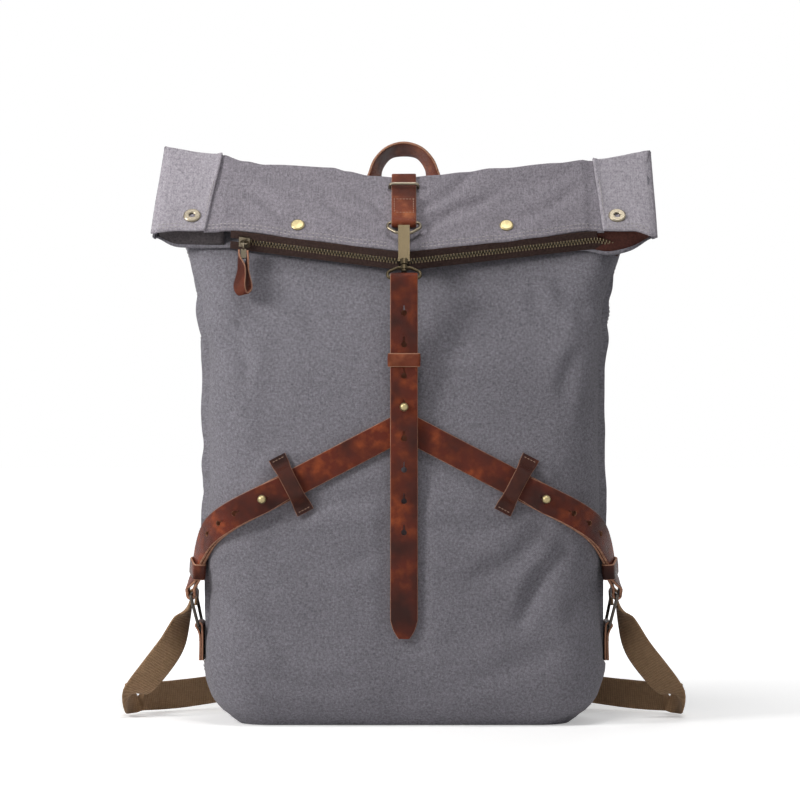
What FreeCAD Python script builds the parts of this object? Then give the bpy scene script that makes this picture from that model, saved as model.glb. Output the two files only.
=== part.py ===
"""Fold-over canvas travel backpack, in millimetres.

The frame: +X to the wearer's left as seen from the front, +Y from the front of the bag
towards the wearer's back, +Z up. The origin is the middle of the flat base.
The bag is a sewn canvas tube. Its mouth is folded forwards over the ridge and is held by a
snap hook on a leather strap. Everything on the fold-over top turns about the ridge.
"""

import FreeCAD, Part
import math
import os

import Sketcher
from FreeCAD import Placement, Rotation, Vector

DOC = FreeCAD.newDocument("Backpack")
SHEET = DOC.addObject("Spreadsheet::Sheet", "Sizes")
NODES = []

X_AXIS = Vector(1, 0, 0)
Y_AXIS = Vector(0, 1, 0)
Z_AXIS = Vector(0, 0, 1)
FRONT = Vector(0, -1, 0)
BACK = Vector(0, 1, 0)
FAR = 400.0  # reach of the tool solids that only trim others

# ---------------------------------------------------------------- driving dimensions

# Sections of the bag from the floor up: height, half width, front, back, corner radius.
STATIONS = {
    "base": (0, 128, -46, 46, 24),
    "hem": (10, 152, -61, 57, 34),
    "foot": (36, 162, -67, 61, 42),
    "belly": (170, 162, -72, 62, 48),
    "chest": (290, 161, -64, 61, 42),
    "collar": (365, 170, -38, 44, 26),
    "neck": (418, 189, -12.5, 13, 9),
    "ridge": (438, 196, -3, 3, 2.9),
}
STATION_FIELDS = ("height", "half", "front", "back", "corner")

SIZES = {
    "canvas": 2.0,
    "seam_gap": 0.3,
    "seam_low": 120,
    "seam_high": 150,
    "lining_cloth": 0.8,
    "foam": 5.5,
    "board": 2.5,
    "board_margin": 11,
    "leather": 2.6,
    "thin_leather": 1.8,
    "play": 0.3,
    "strap_width": 22,
    "hole_radius": 2.2,
    "hole_pitch": 25,
    # the fold-over top
    "flap_tilt": 39,
    "flap_half": 201,
    "flap_clear": 4.4,
    "flap_rise": 3.5,
    "wing_rise": 32,
    "wing_seam": 152,
    "flap_middle": 77.5,
    "flap_edge": 54.5,
    "inner_cloth": 1.6,
    "zip_left": 134,
    "zip_right": 150,
    "tape_visible": 4.6,
    "teeth_row": 2.4,
    "teeth_gap": 1.2,
    "teeth_thick": 2.2,
    "pull_lean": 16,
    "tape_thick": 1.0,
    "mouth_lean": 27,
    # rings and hook
    "wire": 2.6,
    "ring_width": 28.8,
    "d_ring_drop": 12.4,
    "d_ring_lean": 8,
    "eye_rise": 11,
    "hook_tilt": 30,
    "hook_half": 4.6,
    "hook_plate": 3.4,
    "hook_top": 49.5,
    "jaw_back": 6.5,
    "nose": 1.6,
    # straps on the front
    "stud_height": 256,
    "tail_tip": 70,
    "yoke_height": 241,
    "cross_drop": 0.522,
    "cross_stud_x": 113,
    "cross_sweep": 94,
    "cross_turn": 88,
    "roll_depth": 7.2,
    "roll_length": 8,
    "bridge_x": 90,
    "bridge_length": 50,
    "bridge_width": 16,
    "keeper_height": 293.5,
    "keeper_length": 11,
    # side rings and webbing
    "side_bar_z": 104,
    "side_bar_x": 172,
    "side_bar_y": -17,
    "side_ring_length": 62,
    "side_ring_drop": 26,
    "side_ring_lean": 13,
    "webbing_width": 25,
    "webbing": 2.0,
    # handle and shoulder straps
    "handle_width": 20,
    "handle_top": 474,
    "handle_half": 24,
    "patch_width": 92,
    "patch_length": 34,
    "pad_width": 58,
    "pad_thick": 11,
}


def fill_sheet():
    """Writes every driving dimension into the spreadsheet, one named cell each."""
    cells = dict(SIZES)
    for name, values in STATIONS.items():
        for field, value in zip(STATION_FIELDS, values):
            cells[name + "_" + field] = value
    for row, (alias, value) in enumerate(cells.items(), start=1):
        SHEET.set(f"A{row}", alias.replace("_", " "))
        SHEET.set(f"B{row}", str(value))
        SHEET.setAlias(f"B{row}", alias)
    DOC.recompute()


def size(alias):
    """The value of one named cell."""
    return float(SHEET.get(alias))


def sized(expression):
    """Turns {name} into a reference to that cell, for setExpression."""
    return expression.replace("{", "Sizes.").replace("}", "")


# ---------------------------------------------------------------- general helpers


def keep(shape_object, label):
    """Marks an object as a finished sub-part."""
    shape_object.Label = label
    NODES.append(shape_object)
    return shape_object


def feature(label, shape, placement=None):
    """A sub-part or tool whose shape is made by Part's own functions."""
    made = DOC.addObject("Part::Feature", label)
    made.Shape = shape
    if placement is not None:
        made.Placement = placement
    return made


def boolean(kind, label, first, *others):
    """A Part boolean of document objects: Cut takes the others away one by one."""
    result = first
    if kind == "Cut":
        for number, other in enumerate(others):
            step = DOC.addObject("Part::Cut", f"{label}_cut{number}")
            step.Base = result
            step.Tool = other
            result = step
    else:
        result = DOC.addObject("Part::Multi" + kind, label + "_" + kind.lower())
        result.Shapes = [first, *others]
    return result


def mirrored(source, label):
    """The right-hand twin of a left-hand piece."""
    twin = DOC.addObject("Part::Mirroring", label)
    twin.Source = source
    twin.Normal = X_AXIS
    twin.Base = Vector(0, 0, 0)
    return twin


def both_sides(source, label):
    """Keeps a left-hand piece and its mirror image."""
    keep(source, label + "_left")
    keep(mirrored(source, label + "_mirror"), label + "_right")


def bind(shape_object, **expressions):
    """Binds properties of an object to cells."""
    for name, expression in expressions.items():
        shape_object.setExpression(name, sized(str(expression)))
    return shape_object


def box(name, length, width, height, corner, placement=None):
    """A Part::Box whose sizes are expressions; corner is its low corner."""
    made = DOC.addObject("Part::Box", name)
    bind(made, Length=length, Width=width, Height=height)
    if placement is not None:
        made.Placement = placement.multiply(Placement(Vector(*corner), Rotation()))
        return made
    for axis, value in zip("xyz", corner):
        made.setExpression("Placement.Base." + axis, sized(str(value)))
    return made


def cylinder(name, radius, height, placement):
    """A Part::Cylinder along its placement's own Z."""
    made = DOC.addObject("Part::Cylinder", name)
    bind(made, Radius=radius, Height=height)
    made.Placement = placement
    return made


def origin_plane(body, role):
    return next(o for o in body.Origin.OriginFeatures if o.Role == role)


def sketch_on(body, name, role):
    sketch = body.newObject("Sketcher::SketchObject", name)
    sketch.AttachmentSupport = [(origin_plane(body, role), "")]
    sketch.MapMode = "FlatFace"
    return sketch


def start_value(expression):
    """The number that a sum of {cells} gives now, worked out in a spare cell of the sheet."""
    SHEET.set("D1", "=" + expression.replace("{", "").replace("}", ""))
    SHEET.recompute()
    return float(SHEET.get("D1"))


def outline(sketch, points):
    """A closed polygon whose corners are pairs of expressions, each bound to its cells."""
    at = [(start_value(a), start_value(b)) for a, b in points]
    count = len(points)
    for i in range(count):
        start = Vector(*at[i], 0)
        end = Vector(*at[(i + 1) % count], 0)
        sketch.addGeometry(Part.LineSegment(start, end))
    for i in range(count):
        sketch.addConstraint(Sketcher.Constraint("Coincident", i, 2, (i + 1) % count, 1))
    for i, pair in enumerate(points):
        for kind, value, expression in zip(("DistanceX", "DistanceY"), at[i], pair):
            number = sketch.addConstraint(Sketcher.Constraint(kind, -1, 1, i, 1, value))
            sketch.setExpression(f"Constraints[{number}]", sized(expression))
    return sketch


def plate(name, points, thickness, role="XZ_Plane", direction=None, placement=None):
    """A PartDesign body: an outline padded by a thickness, along a direction if given."""
    body = DOC.addObject("PartDesign::Body", name)
    sketch = outline(sketch_on(body, name + "_outline", role), points)
    pad = body.newObject("PartDesign::Pad", name + "_pad")
    pad.Profile = sketch
    pad.setExpression("Length", sized(thickness))
    if direction is not None:
        pad.UseCustomVector = True
        pad.Direction = direction
        pad.AlongSketchNormal = False
    if placement is not None:
        body.Placement = placement
    return body


def turned(name, points, placement=None):
    """A PartDesign body turned about Z from a half outline in its XZ plane."""
    body = DOC.addObject("PartDesign::Body", name)
    sketch = outline(sketch_on(body, name + "_outline", "XZ_Plane"), points)
    spin = body.newObject("PartDesign::Revolution", name + "_turn")
    spin.Profile = sketch
    spin.ReferenceAxis = (sketch, ["V_Axis"])
    spin.Angle = 360
    if placement is not None:
        body.Placement = placement
    return body


def facing(point, direction):
    """A placement at a point whose own Z looks along a direction."""
    return Placement(point, Rotation(Z_AXIS, direction))


def ribbon_shape(stations, widths, thickness):
    """A flat band through (point, face normal) stations, mitred where it bends."""
    count = len(stations)
    if not isinstance(widths, (list, tuple)):
        widths = [widths] * count
    points = [point for point, _ in stations]
    wires = []
    for i, (point, normal) in enumerate(stations):
        before = (point - points[i - 1]).normalize() if i else None
        after = (points[i + 1] - point).normalize() if i < count - 1 else None
        along = (before or after) + (after or before)
        half_turn = 1.0 if not (before and after) else along.Length / 2
        along = along.normalize()
        across = normal.cross(along).normalize()
        face = along.cross(across).normalize()
        side = across * (widths[i] / 2)
        depth = face * (thickness / 2 / max(half_turn, 0.7))
        corners = [
            point - side - depth,
            point + side - depth,
            point + side + depth,
            point - side + depth,
        ]
        wires.append(Part.makePolygon(corners + corners[:1]))
    return Part.makeLoft(wires, True, True)


def arc_stations(centre, start, axis, degrees, steps, inward):
    """Stations round a bar: start is the arm to the first point, turned about axis."""
    found = []
    for step in range(steps + 1):
        arm = Rotation(axis, degrees * step / steps).multVec(start)
        face = Vector(arm).normalize() * (-1 if inward else 1)
        found.append((centre + arm, face))
    return found


def wire_ring(points, radius, placement=None, closed=True):
    """A round wire bent through points with rounded corners; points lie in one plane."""
    bend = radius * 2.2
    count = len(points)
    edges = []
    corners = []
    for i in range(count):
        here = points[i]
        if not closed and i in (0, count - 1):
            corners.append((here, here))
            continue
        to_last = (points[i - 1] - here)
        to_next = (points[(i + 1) % count] - here)
        turn = to_last.getAngle(to_next)
        cut = bend / math.tan(turn / 2)
        first = here + to_last.normalize() * cut
        second = here + to_next.normalize() * cut
        inward = (to_last + to_next).normalize()
        middle = here + inward * (bend / math.sin(turn / 2) - bend)
        edges.append(Part.Arc(first, middle, second).toShape())
        corners.append((first, second))
    last = count if closed else count - 1
    for i in range(last):
        begin = corners[i][1]
        end = corners[(i + 1) % count][0]
        if (end - begin).Length > 1e-6:
            edges.append(Part.LineSegment(begin, end).toShape())
    path = Part.Wire(Part.__sortEdges__(edges))
    first_edge = path.OrderedEdges[0]
    start = first_edge.valueAt(first_edge.FirstParameter)
    heading = first_edge.tangentAt(first_edge.FirstParameter)
    section = Part.Wire([Part.makeCircle(radius, start, heading)])
    shape = path.makePipeShell([section], True, False, 2)
    return feature("wire", shape, placement)


# ---------------------------------------------------------------- the bag's own surface


def level(field, height):
    """A station value such as front or half at any height, by straight interpolation."""
    rows = [(size(n + "_height"), size(n + "_" + field)) for n in STATIONS]
    for (low_z, low), (high_z, high) in zip(rows, rows[1:]):
        if height <= high_z:
            return low + (high - low) * (height - low_z) / (high_z - low_z)
    return rows[-1][1]


def on_bag(along, height, offset):
    """A point off the bag's left front at an arc length from the middle, and the normal there."""
    half, front, corner = (level(f, height) for f in ("half", "front", "corner"))
    rate = (level("front", height + 4) - level("front", height - 4)) / 8
    flat = half - corner
    if along <= flat:
        normal = Vector(0, -1, rate).normalize()
        return Vector(-along, front, height) + normal * offset, normal
    turn = min((along - flat) / corner, math.pi / 2)
    beyond = max(0.0, along - flat - corner * math.pi / 2)
    level_out = Vector(-math.sin(turn), -math.cos(turn), 0)
    point = Vector(-flat, front + corner + beyond, height) + level_out * corner
    normal = Vector(level_out.x, level_out.y, rate * math.cos(turn)).normalize()
    return point + normal * offset, normal


def section(name, station, grow, back_grow, lift):
    """One rounded-rectangle section of the bag, grown outwards by grow."""
    sketch = DOC.addObject("Sketcher::SketchObject", name)
    sketch.setExpression("Placement.Base.z", sized(f"{{{station}_height}} + {lift}"))
    half = f"({{{station}_half}} - {{{station}_corner}})"
    front = f"({{{station}_front}} + {{{station}_corner}})"
    back = f"({{{station}_back}} + ({back_grow}) - {{{station}_corner}} - ({grow}))"
    radius = f"({{{station}_corner}} + ({grow}))"
    centres = [(half, front), (half, back), ("-" + half, back), ("-" + half, front)]
    reach = start_value(radius)
    at = [Vector(start_value(a), start_value(b), 0) for a, b in centres]
    for i, centre in enumerate(at):
        circle = Part.Circle(centre, Z_AXIS, reach)
        begin = math.radians(-90 + 90 * i)
        sketch.addGeometry(Part.ArcOfCircle(circle, begin, begin + math.pi / 2))
    for i, centre in enumerate(at):
        turn = math.radians(90 * i)
        out = Vector(math.cos(turn), math.sin(turn), 0) * reach
        sketch.addGeometry(Part.LineSegment(centre + out, at[(i + 1) % 4] + out))
    for i in range(4):
        sketch.addConstraint(Sketcher.Constraint("Tangent", i, 2, 4 + i, 1))
        sketch.addConstraint(Sketcher.Constraint("Tangent", 4 + i, 2, (i + 1) % 4, 1))
    for i, pair in enumerate(centres):
        for kind, value, text in zip(("DistanceX", "DistanceY"), at[i], pair):
            number = sketch.addConstraint(Sketcher.Constraint(kind, -1, 1, i, 3, value))
            sketch.setExpression(f"Constraints[{number}]", sized(text))
        number = sketch.addConstraint(Sketcher.Constraint("Radius", i, reach))
        sketch.setExpression(f"Constraints[{number}]", sized(radius))
    return sketch


def form(name, grow, back_grow=None, names=tuple(STATIONS), lift="0"):
    """The bag's solid form, grown or shrunk; lift raises its lowest section."""
    back = grow if back_grow is None else back_grow
    loft = DOC.addObject("Part::Loft", name)
    loft.Sections = [
        section(f"{name}_{s}", s, grow, back, lift if s == names[0] else "0")
        for s in names
    ]
    loft.Solid = True
    loft.Ruled = True
    return loft


def zone(name, x_low_bottom, x_low_top, x_high_bottom, x_high_top, y_low, y_high):
    """A tall tool solid between two leaning side planes, from y_low to y_high."""
    top = "({ridge_height} + 20)"
    points = [
        (x_low_bottom, "-20"),
        (x_high_bottom, "-20"),
        (x_high_top, top),
        (x_low_top, top),
    ]
    body = plate(name, points, f"{y_high} - {y_low}")
    body.setExpression("Placement.Base.y", sized(y_high))
    return body


def bag_panels():
    """Front, back, two gussets and base: the sewn canvas tube."""
    shell = boolean("Cut", "shell", form("outer_form", "0"), form("inner_form", "-{canvas}"))
    low, high = "{seam_low}", "{seam_high}"
    inside = ("-" + low, "-" + high, low, high)
    front_zone = zone("front_zone", *inside, f"-{FAR}", "0")
    back_zone = zone("back_zone", *inside, "0", f"{FAR}")
    beyond = (f"-{FAR}", f"-{FAR}", "-" + low, "-" + high)
    left_zone = zone("left_zone", *beyond, f"-{FAR}", f"{FAR}")
    keep(boolean("Common", "front", shell, front_zone), "front_panel")
    keep(boolean("Common", "back", shell, back_zone), "back_panel")
    both_sides(boolean("Common", "gusset", shell, left_zone), "gusset")
    half = "({base_half} - {canvas} - {seam_gap})"
    front = "({base_front} + {canvas} + {seam_gap})"
    back = "({base_back} - {canvas} - {seam_gap})"
    near = "({base_corner} * 0.32)"
    corners = [
        (f"{half} - {{base_corner}}", front),
        (f"{half} - {near}", f"{front} + {near}"),
        (half, f"{front} + {{base_corner}}"),
        (half, f"{back} - {{base_corner}}"),
        (f"{half} - {near}", f"{back} - {near}"),
        (f"{half} - {{base_corner}}", back),
    ]
    points = corners + [(f"-({x})", y) for x, y in reversed(corners)]
    keep(plate("base", points, "{canvas}", "XY_Plane"), "base_panel")


def inside_pieces():
    """Lining, back foam, base board and the laptop sleeve."""
    names = tuple(s for s in STATIONS if s not in ("base", "ridge"))
    outer = "-({canvas} + {seam_gap})"
    inner = "-({canvas} + {seam_gap} + {lining_cloth})"
    behind = "-({canvas} + 2 * {seam_gap} + {foam})"
    inside_back = "-({canvas} + 2 * {seam_gap} + {foam} + {lining_cloth})"
    bag = form("lining_outer", outer, behind, names)
    hollow = form("lining_inner", inner, inside_back, names, "{lining_cloth}")
    keep(boolean("Cut", "lining_bag", bag, hollow), "lining")
    foam_names = ("foot", "belly", "chest")
    foam_out = form("foam_outer", outer, outer, foam_names)
    foam_in = form("foam_inner", outer, "-({canvas} + {seam_gap} + {foam})", foam_names)
    limits = box(
        "foam_limits",
        "2 * ({seam_low} - 12)",
        "{chest_back} + 50",
        "{chest_height} - {foot_height} - 12",
        ("-({seam_low} - 12)", "{belly_back} - 25", "{foot_height} + 6"),
    )
    sheet = boolean("Cut", "foam_sheet", foam_out, foam_in)
    keep(boolean("Common", "foam", sheet, limits), "back_foam")
    keep(
        box(
            "base_board",
            "2 * ({base_half} - {board_margin})",
            "{base_back} - {base_front} - {board_margin}",
            "{board}",
            (
                "-({base_half} - {board_margin})",
                "{base_front} + {board_margin} / 2",
                "{canvas} + {seam_gap}",
            ),
        ),
        "base_board",
    )
    sleeve_back = "({chest_back} - {canvas} - 3 * {seam_gap} - {foam} - {lining_cloth})"
    keep(
        box(
            "sleeve",
            "2 * ({seam_low} - 5)",
            "{thin_leather}",
            "{chest_height} - {foot_height} - 20",
            ("-({seam_low} - 5)", sleeve_back + " - {thin_leather}", "{foot_height} + 2"),
        ),
        "laptop_sleeve",
    )


# ---------------------------------------------------------------- the fold-over top


def ridge_point():
    """The hinge line's middle: the fold at the top of the bag."""
    return Vector(0, 0, size("ridge_height") - 1)


def front_slope():
    """Lean of the bag's front above the collar, in degrees from upright."""
    run = size("neck_front") - size("collar_front")
    rise = size("neck_height") - size("collar_height")
    return math.degrees(math.atan2(run, rise))


def leaning(tilt):
    """A placement at the ridge whose own Z runs up a face that leans back by tilt."""
    return Placement(ridge_point(), Rotation(X_AXIS, -tilt))


def on_flap(x, down, off):
    """A point on the fold-over top's outer face, down the slope from the ridge."""
    local = Vector(x, -(size("flap_clear") + size("canvas") + off), -down)
    return leaning(size("flap_tilt")).multVec(local)


def mouth_slope():
    """How much the mouth's edge drops towards the middle, per millimetre of width."""
    return (size("flap_middle") - size("flap_edge")) / size("zip_left")


def flap_panels():
    """The outer and inner cloth of the folded mouth, and the two wing panels."""
    lean = leaning(size("flap_tilt"))
    outer_place = lean.multiply(Placement(Vector(0, -size("flap_clear"), 0), Rotation()))
    points = [
        ("-{wing_seam}", "-{flap_edge}"),
        ("-{zip_left}", "-{flap_edge}"),
        ("0", "-{flap_middle}"),
        ("{zip_right}", "-{flap_edge}"),
        ("{wing_seam}", "-{flap_edge}"),
        ("{wing_seam}", "{flap_rise}"),
        ("-{wing_seam}", "{flap_rise}"),
    ]
    keep(plate("outer", points, "{canvas}", placement=outer_place), "flap_outer")

    slope = front_slope()
    inner_clear = 3.7
    inner_place = leaning(slope).multiply(Placement(Vector(0, -inner_clear, 0), Rotation()))
    gain = math.cos(math.radians(size("flap_tilt"))) / math.cos(math.radians(slope))
    low = f"-({{flap_middle}} * {gain} + 13)"
    high = f"-({{flap_edge}} * {gain} + 13)"
    points = [
        ("-{wing_seam}", high),
        ("-{zip_left}", high),
        ("0", low),
        ("{zip_right}", high),
        ("{wing_seam}", high),
        ("{wing_seam}", "-8"),
        ("-{wing_seam}", "-8"),
    ]
    keep(plate("inner", points, "{inner_cloth}", placement=inner_place), "flap_inner")

    wing_outer = plate(
        "wing_outer",
        [
            ("-{flap_half}", "-({flap_edge} + 1)"),
            ("-({wing_seam} + {seam_gap})", "-{flap_edge}"),
            ("-({wing_seam} + {seam_gap})", "{wing_rise} - 6"),
            ("-({flap_half} - 8)", "{wing_rise}"),
        ],
        "{canvas}",
        placement=outer_place,
    )
    wing_inner = plate(
        "wing_inner",
        [
            ("-{flap_half}", high),
            ("-({wing_seam} + {seam_gap})", high),
            ("-({wing_seam} + {seam_gap})", "-8"),
            ("-{flap_half}", "-8"),
        ],
        "{inner_cloth}",
        placement=inner_place,
    )
    outer_low = outer_place.multVec(Vector(0, -size("canvas"), -size("flap_edge") - 1))
    inner_low = inner_place.multVec(Vector(0, 0, -size("flap_edge") * gain - 13))
    inner_top = inner_place.multVec(Vector(0, -size("inner_cloth") / 2, -8))
    outer_top = outer_place.multVec(Vector(0, -size("canvas"), -4))
    corners = [outer_top, outer_low, inner_low, inner_top]
    x_low = -size("flap_half")
    face = Part.makePolygon([Vector(x_low, p.y, p.z) for p in corners + corners[:1]])
    end_shape = Part.Face(face).extrude(Vector(size("canvas"), 0, 0))
    wing_end = feature("wing_end", end_shape)
    wing = boolean("Fuse", "wing", wing_outer, wing_inner, wing_end)
    both_sides(wing, "flap_wing")


def mouth_frame():
    """Placement of the fold-over top's outer face, from which the zip's band hangs."""
    lean = leaning(size("flap_tilt"))
    outer_face = Vector(0, -(size("flap_clear") + size("canvas")), 0)
    return lean.multiply(Placement(outer_face, Rotation()))


def into_mouth():
    """Direction across the zip's band, from the mouth's outer edge back and down, in its frame."""
    turn = math.radians(size("flap_tilt") + size("mouth_lean"))
    return Vector(0, math.sin(turn), -math.cos(turn))


def zip_reach(side):
    return size("zip_left") if side < 0 else size("zip_right")


def zip_frame(side, along):
    """Placement on one half of the zip: own X towards the left, own Y across, own Z outwards."""
    frame = mouth_frame()
    drop = (size("flap_middle") - size("flap_edge")) / zip_reach(side)
    run = Vector(-side, 0, -drop).normalize()
    under = size("seam_gap") + size("tape_thick") / 2
    end = Vector(side * zip_reach(side), 0, -size("flap_edge") - under)
    point = frame.multVec(end + run * along)
    left = frame.Rotation.multVec(run * side)
    out = frame.Rotation.multVec(into_mouth()).cross(left).normalize() * -1
    return Placement(point, Rotation(left, out.cross(left), out, "XZY"))


def zip_strip(label, start, width, thick):
    """One V-shaped strip of the zip's band, start millimetres in from the mouth's outer edge."""
    halves = []
    past = 8.0
    for side, name in ((-1, label + "_left"), (1, label + "_right")):
        length = math.hypot(zip_reach(side), size("flap_middle") - size("flap_edge")) + past
        frame = zip_frame(side, length if side < 0 else 0.0)
        corner = (0, start, -size(thick) / 2)
        slab = box(name, str(length), "{%s}" % width, "{%s}" % thick, corner, frame)
        low = -FAR if side < 0 else 0
        half_space = box(name + "_space", FAR, 2 * FAR, 2 * FAR, (low, -FAR, -FAR))
        halves.append(boolean("Common", name, slab, half_space))
    keep(boolean("Fuse", label, *halves), label)


def zip_pieces():
    """Two tapes and two rows of teeth, closed, with the slider's post gap between the rows."""
    tape = size("tape_visible")
    row = size("teeth_row")
    gap = size("teeth_gap")
    hair = 0.05
    starts = [0.4, 0.4 + tape + hair]
    starts.append(starts[1] + row + gap)
    starts.append(starts[2] + row + hair)
    zip_strip("zip_tape_upper", starts[0], "tape_visible", "tape_thick")
    zip_strip("zip_teeth_upper", starts[1], "teeth_row", "teeth_thick")
    zip_strip("zip_teeth_lower", starts[2], "teeth_row", "teeth_thick")
    zip_strip("zip_tape_lower", starts[3], "tape_visible", "tape_thick")


def slider_pieces():
    """The zip's slider, its pull link and its leather pull."""
    middle_in = 0.45 + size("tape_visible") + size("teeth_row") + size("teeth_gap") / 2
    frame = zip_frame(-1, 6.0).multiply(Placement(Vector(0, middle_in, 0), Rotation()))
    play = size("play")
    half = size("teeth_thick") / 2 + play
    row_edge = size("teeth_gap") / 2 + size("teeth_row") + play
    lip = size("tape_thick") / 2 + play
    skin = 1.0
    length = 9.0
    parts = []
    for side in (1, -1):
        low = half if side > 0 else -half - skin
        corner = Vector(-length / 2, -row_edge - skin, low)
        parts.append(Part.makeBox(length, 2 * (row_edge + skin), skin, corner))
        for edge in (1, -1):
            start = row_edge if edge > 0 else -row_edge - skin
            foot = lip if side > 0 else -half
            corner = Vector(-length / 2, start, foot)
            parts.append(Part.makeBox(length, skin, half - lip, corner))
    web = size("teeth_gap") - 2 * play
    post = Part.makeBox(length * 0.4, web, 2 * half, Vector(-length / 2, -web / 2, -half))
    body = parts[0].multiFuse(parts[1:] + [post])
    bail_radius = 3.0
    bail_wire = 0.7
    bail_at = half + skin + 0.3
    bail = Part.makeTorus(bail_radius, bail_wire, Vector(0, 0, bail_at), Y_AXIS, 0, 360, 360)
    above = Part.makeBox(20, 20, 20, Vector(-10, -10, half + skin * 0.5))
    body = body.fuse(bail.common(above)).removeSplitter()
    keep(feature("zip_slider", body, frame), "zip_slider")

    ring_radius = 3.2
    ring_wire = 0.6
    hang = frame.multVec(Vector(0, 0, bail_at + bail_radius))
    place = Placement(hang, Rotation(X_AXIS, -size("pull_lean")))
    centre = Vector(0, 0, bail_wire + ring_wire + 0.1 - ring_radius)
    ring = Part.makeTorus(ring_radius, ring_wire, centre, X_AXIS, 0, 360, 360)
    tag_top = centre.z - ring_radius + 0.4
    tag = Part.makeBox(4.4, 2.6, 7.6, Vector(-2.2, -1.3, tag_top - 7.6))
    keep(feature("pull_link", ring.fuse(tag), place), "pull_link")

    gap = 2.2 + play + size("thin_leather") / 2
    top = tag_top - 6.4
    route = [
        (Vector(-gap, 0, 5.0), X_AXIS),
        (Vector(-gap, 0, -2.0), X_AXIS),
        (Vector(-1.2, 0, -10.0), X_AXIS),
        (Vector(-3.2, 0, -18.0), X_AXIS),
        (Vector(-4.0, 0, -23.5), X_AXIS),
        (Vector(-2.7, 0, -27.0), Vector(0.6, 0, 0.8)),
        (Vector(0, 0, -28.4), Z_AXIS),
    ]
    other = []
    for p, n in reversed(route[:-1]):
        other.append((Vector(-p.x, 0, p.z), Vector(-n.x, 0, n.z)))
    stations = [(p + Vector(0, 0, top), n) for p, n in route + other]
    pull = ribbon_shape(stations, 8.0, size("thin_leather"))
    keep(feature("leather_pull", pull, place), "leather_pull")


def rivets_and_snaps():
    """Two brass rivet caps and two ring snaps through the fold-over top's outer cloth."""
    outward = leaning(size("flap_tilt")).Rotation.multVec(FRONT)
    depth = "({canvas} + 1.2)"
    cap = [
        ("0", f"-{depth}"),
        ("2.5", f"-{depth}"),
        ("2.5", f"-{depth} + 0.8"),
        ("1.1", f"-{depth} + 0.8"),
        ("1.1", "0.2"),
        ("5.5", "0.2"),
        ("5.5", "0.9"),
        ("4.4", "1.7"),
        ("0", "2.0"),
    ]
    ring = [
        ("2.3", f"-{depth}"),
        ("6", f"-{depth}"),
        ("6", f"-{depth} + 0.8"),
        ("3.3", f"-{depth} + 0.8"),
        ("3.3", "0.2"),
        ("7", "0.2"),
        ("7", "0.9"),
        ("6", "1.7"),
        ("3", "1.7"),
        ("2.3", "1.1"),
    ]
    drop = mouth_slope()
    places = {
        "rivet_cap_left": (cap, -86, 14),
        "rivet_cap_right": (cap, 83, 14),
        "snap_ring_left": (ring, -172, 16),
        "snap_ring_right": (ring, 173, 16),
    }
    for label, (profile, x, up) in places.items():
        down = size("flap_middle") - drop * min(abs(x), size("zip_left")) - up
        keep(turned(label, profile, facing(on_flap(x, down, 0), outward)), label)
        radius = 1.4 if profile is cap else 3.6
        punch(label, on_flap(x, down, 0), outward, radius)


def punch(name, point, outward, radius):
    """Cuts the fastener's hole in the cloth that it goes through."""
    label = "flap_outer"
    if abs(point.x) > size("wing_seam"):
        label = "flap_wing_left" if point.x < 0 else "flap_wing_right"
    number = [node.Label for node in NODES].index(label)
    whole = NODES[number]
    start = point - outward * (size("canvas") + 3.0)
    holed = DOC.addObject("Part::Cut", label + "_" + name)
    holed.Base = whole
    holed.Tool = cylinder(name + "_tool", str(radius), "{canvas} + 6", facing(start, outward))
    whole.Label = label + "_whole_" + name
    holed.Label = label
    NODES[number] = holed


def d_ring_down():
    """Direction in which the D-ring hangs from the short strap's fold."""
    turn = math.radians(size("flap_tilt") + size("d_ring_lean"))
    return Vector(0, -math.sin(turn), -math.cos(turn))


def d_ring_top():
    """Middle of the D-ring's upper bar, in the fold of the short strap."""
    leather = size("leather") - 0.4
    off = 2 * size("play") + leather + size("wire") / 2
    return on_flap(0, 50.0, off)


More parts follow.
